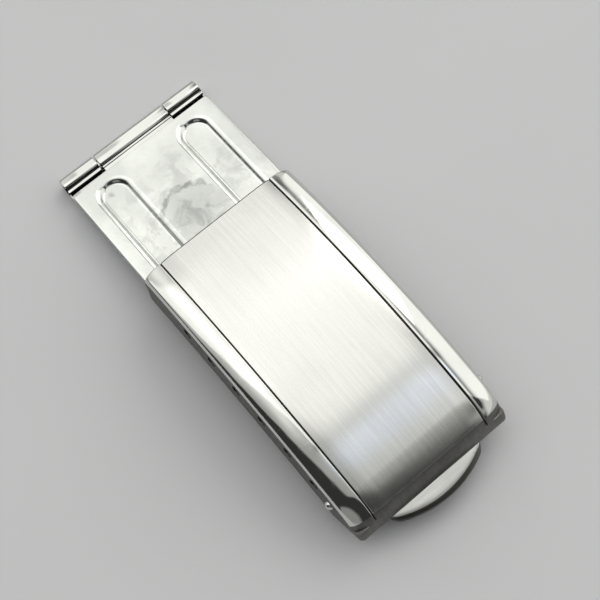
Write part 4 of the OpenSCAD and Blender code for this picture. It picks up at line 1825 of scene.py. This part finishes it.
@dataclass(frozen=True)
class Studio:
    """A pale floor under a light tent, one soft lamp, and the camera at the photograph's place.

    The glow of the tent depends on the direction that a point of it lies in, given here as shares
    of a unit step along X, Y and Z.

    Attributes:
        ceiling, horizon, horizon_heights: Glow overhead and at the horizon, and where it changes.
        high_heights: Where the marks below fade in.
        fall_side, fall_slant, fall_steps: How the glow falls off towards +X: where that line is
            level, its slant, and its steps.
        strip, seam, tube, pole: What each mark adds to the glow. Each has its middle and width.
        panel_side, panel_width: Where strip and seam show, along Y.
        patch, patch_edges, patch_sides: A dimmer part on the -X side, open in the middle.
        far_glow, far_heading, far_edge: A bright part low on one side.
        dark_side, dark_heading, dark_edge: The side where the cloth is open.
        behind, behind_edge: Dim glow past that side.
        azimuth, elevation, roll, distance, target: The camera, about the blade's own axes in
            radians and millimetres.
    """

    floor_colour: str = "#d6d7da"
    floor_shade: str = "#cecfd2"
    floor_half: float = 1.6
    tent_radius: float = 1.4
    lamp_place: Point = (-0.25, 0.45, 0.6)
    lamp_size: Band = (0.4, 0.4)
    lamp_glow: float = 1.4
    lamp_colour: str = "#fffcf6"
    ceiling: float = 1.28
    ceiling_colour: str = "#fdfdf8"
    horizon: float = 0.08
    horizon_heights: Band = (0.03, 0.30)
    high_heights: Band = (0.25, 0.6)
    fall_side: float = 0.16
    fall_slant: float = 0.9
    fall_steps: tuple[tuple[float, float], ...] = ((0.20, 1.0), (0.30, 0.48), (0.56, 0.36),
                                                   (0.84, 0.26), (1.0, 0.2))
    strip: float = 0.26
    strip_colour: str = "#e3edff"
    strip_lean: float = 0.205
    strip_width: float = 0.05
    seam: float = -0.8
    seam_lean: float = 0.122
    seam_width: float = 0.022
    tube: float = 0.42
    tube_side: float = -0.27
    tube_width: float = 0.16
    tube_end: Band = (-0.05, 0.1)
    panel_side: float = 0.16
    panel_width: float = 0.24
    pole: float = -0.95
    pole_side: float = 0.44
    pole_width: float = 0.07
    patch: float = 0.4
    patch_edges: Band = (-0.95, -0.67)
    patch_sides: Band = (0.05, 0.33)
    patch_soft: Band = (0.02, 0.03)
    far_glow: float = 0.8
    far_heading: float = math.radians(62)
    far_edge: Band = (0.74, 0.86)
    dark_side: float = 0.04
    behind: float = 0.3
    behind_edge: Band = (0.24, 0.33)
    dark_heading: float = math.radians(-50)
    dark_edge: Band = (0.39, 0.45)
    azimuth: float = -0.41101
    elevation: float = 1.15284
    roll: float = -0.29997
    distance: float = 104.985
    focal_px: float = 1203.63
    frame_px: float = 600.0
    sensor_mm: float = 36.0
    clip: Band = (0.001, 10.0)
    target: Point = (10.22334, 1.18036, 0.0)

    def camera(self, place: Placement) -> None:
        """Places the camera by its angles about the blade's own axes.

        Args:
            place: Carries those axes into the shared frame.
        """
        ca, sa = math.cos(self.azimuth), math.sin(self.azimuth)
        ce, se = math.cos(self.elevation), math.sin(self.elevation)
        back = Vector((ca * ce, sa * ce, se))
        level = Vector((-sa, ca, 0.0))
        right = math.cos(self.roll) * level + math.sin(self.roll) * back.cross(level)
        above = back.cross(right)
        turn = Matrix((right, above, back)).transposed()
        row = place.matrix.to_3x3() * (1 / MM)
        data = bpy.data.cameras.new("view")
        data.sensor_width = self.sensor_mm
        data.lens = self.focal_px * self.sensor_mm / self.frame_px
        data.clip_start, data.clip_end = self.clip
        eye = place.carry(Vector(self.target) + back * self.distance)
        camera = shown("view", data)
        camera.matrix_world = Matrix.Translation(eye) @ (row @ turn).to_4x4()
        bpy.context.scene.camera = camera

    def lamp(self) -> None:
        """Adds the soft lamp, which faces the clasp."""
        data = bpy.data.lights.new("soft_box", "AREA")
        data.shape = "RECTANGLE"
        data.size, data.size_y = self.lamp_size
        data.energy = self.lamp_glow * math.pi * self.lamp_size[0] * self.lamp_size[1]
        data.color = linear(self.lamp_colour)[:3]
        lamp = shown("soft_box", data)
        aim = -Vector(self.lamp_place)
        lamp.rotation_euler = aim.to_track_quat("-Z", "Y").to_euler()
        lamp.location = self.lamp_place

    def hump(self, tree: Tree, value: Socket, middle: float,
             width: float) -> Node:
        """Draws a bell curve over a value.

        Args:
            tree: The tree that gets the nodes.
            value: The value.
            middle: Where the curve is 1.
            width: How far from there it has fallen to about a third.

        Returns:
            The curve.
        """
        off = add(tree, MATH, (value, middle), operation="SUBTRACT")
        off = add(tree, MATH, (off, width), operation="DIVIDE")
        square = add(tree, MATH, (off, off), operation="MULTIPLY")
        below = add(tree, MATH, (square, -1.0), operation="MULTIPLY")
        return add(tree, MATH, (below,), operation="EXPONENT")

    def between(self, tree: Tree, value: Socket, edges: Band,
                soft: float) -> Node:
        """Marks the stretch between two edges of a value.

        Args:
            tree: The tree that gets the nodes.
            value: The value.
            edges: The two edges.
            soft: How far to each side of an edge it takes to fade.

        Returns:
            1 between the edges and 0 outside them.
        """
        rise = add(tree, RANGE, (value, edges[0] - soft, edges[0] + soft), **SOFT)
        drop = add(tree, RANGE, (value, edges[1] - soft, edges[1] + soft, 1.0, 0.0), **SOFT)
        return add(tree, MATH, (rise, drop), operation="MULTIPLY")

    def towards(self, tree: Tree, x: Socket, y: Socket,
                heading: float) -> Node:
        """Returns the share of a direction along a heading, an angle from +X towards +Y."""
        sideways = add(tree, MATH, (y, math.sin(heading)), operation="MULTIPLY")
        return add(tree, MATH, (x, math.cos(heading), sideways), operation="MULTIPLY_ADD")

    def tent_level(self, tree: Tree, x: Socket,
                   y: Socket, z: Socket) -> Node:
        """Draws the tent's glow before its marks: bright overhead, and falling off towards +X.

        Args:
            tree: The tree that gets the nodes.
            x: Share of the direction along X.
            y: Share of the direction along Y.
            z: Share of the direction along Z.

        Returns:
            The strength of the glow.
        """
        level = add(tree, RANGE, (z, *self.horizon_heights, self.horizon, self.ceiling), **SOFT)
        aside = add(tree, MATH, (y, self.fall_side), operation="SUBTRACT")
        slanted = add(tree, MATH, (aside, -self.fall_slant, x), operation="MULTIPLY_ADD")
        fall = add(tree, "ShaderNodeValToRGB", (slanted,))
        ramp = fall.color_ramp
        ramp.interpolation = "EASE"
        for k, (place, share) in enumerate(self.fall_steps):
            stop = ramp.elements[k] if k < 2 else ramp.elements.new(place)
            stop.position, stop.color = place, (share, share, share, 1.0)
        level = add(tree, MATH, (level, fall), operation="MULTIPLY")
        along = self.between(tree, x, self.patch_edges, self.patch_soft[0])
        open_part = self.between(tree, y, self.patch_sides, self.patch_soft[1])
        beside = add(tree, MATH, (1.0, open_part), operation="SUBTRACT")
        patch = add(tree, MATH, (along, beside), operation="MULTIPLY")
        kept = add(tree, MATH, (patch, -self.patch, 1.0), operation="MULTIPLY_ADD")
        return add(tree, MATH, (level, kept), operation="MULTIPLY")

    def tent_glow(self) -> Material:
        """Makes the glow of the light tent.

        A cool strip, a seam of its cloth and a pole cross it, a light tube runs along it, and one
        side is dark.

        Returns:
            The material.
        """
        material, tree = blank("light_tent")
        where = add(tree, "ShaderNodeTexCoord").outputs["Object"]
        way = add(tree, "ShaderNodeVectorMath", (where,), operation="NORMALIZE")
        x, y, z = add(tree, "ShaderNodeSeparateXYZ", (way,)).outputs
        level = self.tent_level(tree, x, y, z)
        high = add(tree, RANGE, (z, *self.high_heights), **SOFT)
        side = self.hump(tree, y, self.panel_side, self.panel_width)
        ahead = add(tree, MATH, (high, side), operation="MULTIPLY")
        end = add(tree, RANGE, (x, *self.tube_end, 1.0, 0.0), **SOFT)
        beyond = add(tree, MATH, (high, end), operation="MULTIPLY")
        marks = ((self.strip, x, self.strip_lean, self.strip_width, ahead),
                 (self.seam, x, self.seam_lean, self.seam_width, ahead),
                 (self.tube, y, self.tube_side, self.tube_width, beyond),
                 (self.pole, y, self.pole_side, self.pole_width, high))
        bands = []
        for share, value, middle, width, part in marks:
            curve = self.hump(tree, value, middle, width)
            bands.append(add(tree, MATH, (curve, part), operation="MULTIPLY"))
            level = add(tree, MATH, (bands[-1], share, level), operation="MULTIPLY_ADD")
        faced = self.towards(tree, x, y, self.far_heading)
        far = add(tree, RANGE, (faced, *self.far_edge, 0.0, self.far_glow), **SOFT)
        least = add(tree, MATH, (far, self.dark_side), operation="MAXIMUM")
        level = add(tree, MATH, (level, least), operation="MAXIMUM")
        dark = add(tree, RANGE, (self.towards(tree, x, y, self.dark_heading), *self.dark_edge), **SOFT)
        level = add(tree, "ShaderNodeMix", {0: dark, 2: level, 3: self.dark_side})
        across = add(tree, MATH, (x, y), operation="MULTIPLY")
        across = add(tree, MATH, (across, -1.0), operation="MULTIPLY")
        behind = add(tree, RANGE, (across, *self.behind_edge, 0.0, self.behind), **SOFT)
        level = add(tree, MATH, (level, behind), operation="MAXIMUM")
        hue = add(tree, "ShaderNodeMix", {0: bands[0], 6: linear(self.ceiling_colour),
                                          7: linear(self.strip_colour)}, data_type="RGBA").outputs[2]
        glow = add(tree, "ShaderNodeEmission", {"Color": hue, "Strength": level})
        add(tree, "ShaderNodeOutputMaterial", {"Surface": glow})
        return material

    def tent(self) -> None:
        """Puts a dome of glowing cloth over the floor."""
        mesh = bpy.data.meshes.new("light_tent")
        work = bmesh.new()
        bmesh.ops.create_icosphere(work, subdivisions=4, radius=self.tent_radius)
        bmesh.ops.reverse_faces(work, faces=work.faces)
        work.to_mesh(mesh)
        work.free()
        mesh.materials.append(self.tent_glow())
        shown("light_tent", mesh)

    def plain(self, name: str, colour: str, shade: str, roughness: float) -> Material:
        """Makes a matt material with a faint cloudiness.

        Args:
            name: Its name.
            colour: Its sRGB colour.
            shade: The colour that it turns to in places.
            roughness: Its roughness.

        Returns:
            The material.
        """
        material, tree = blank(name)
        where = add(tree, "ShaderNodeTexCoord").outputs["Object"]
        cloud = add(tree, NOISE, {"Vector": where, "Scale": 30.0})
        tint = add(tree, "ShaderNodeMix", {0: cloud, 6: linear(colour), 7: linear(shade)},
                   data_type="RGBA").outputs[2]
        shader = add(tree, "ShaderNodeBsdfPrincipled", {"Base Color": tint, "Roughness": roughness})
        add(tree, "ShaderNodeOutputMaterial", {"Surface": shader})
        return material

    def floor(self) -> None:
        """Lays the floor that the clasp rests on."""
        half = self.floor_half
        mesh = bpy.data.meshes.new("floor")
        mesh.from_pydata([(-half, -half, 0), (half, -half, 0), (half, half, 0), (-half, half, 0)],
                         [], [(0, 1, 2, 3)])
        mesh.materials.append(self.plain("pale_floor", self.floor_colour, self.floor_shade, 0.8))
        shown("floor", mesh)

    def build(self, place: Placement) -> None:
        """Sets up floor, tent, lamp and camera.

        Args:
            place: Carries the blade's axes into the shared frame.
        """
        bpy.context.scene.view_settings.view_transform = "Standard"
        self.floor()
        self.tent()
        self.lamp()
        self.camera(place)


def main() -> None:
    """Builds the clasp piece by piece."""
    logging.basicConfig(level=logging.INFO, format="%(name)s: %(message)s")
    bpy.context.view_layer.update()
    arch = Arch()
    place = Placement.from_hinges(arch.fold, arch.bar)
    Studio().build(place)
    Cover(arch, place).build()
    Blades(arch, place).build()
    HingeBar(arch, place).build()


if __name__ == "__main__":
    main()
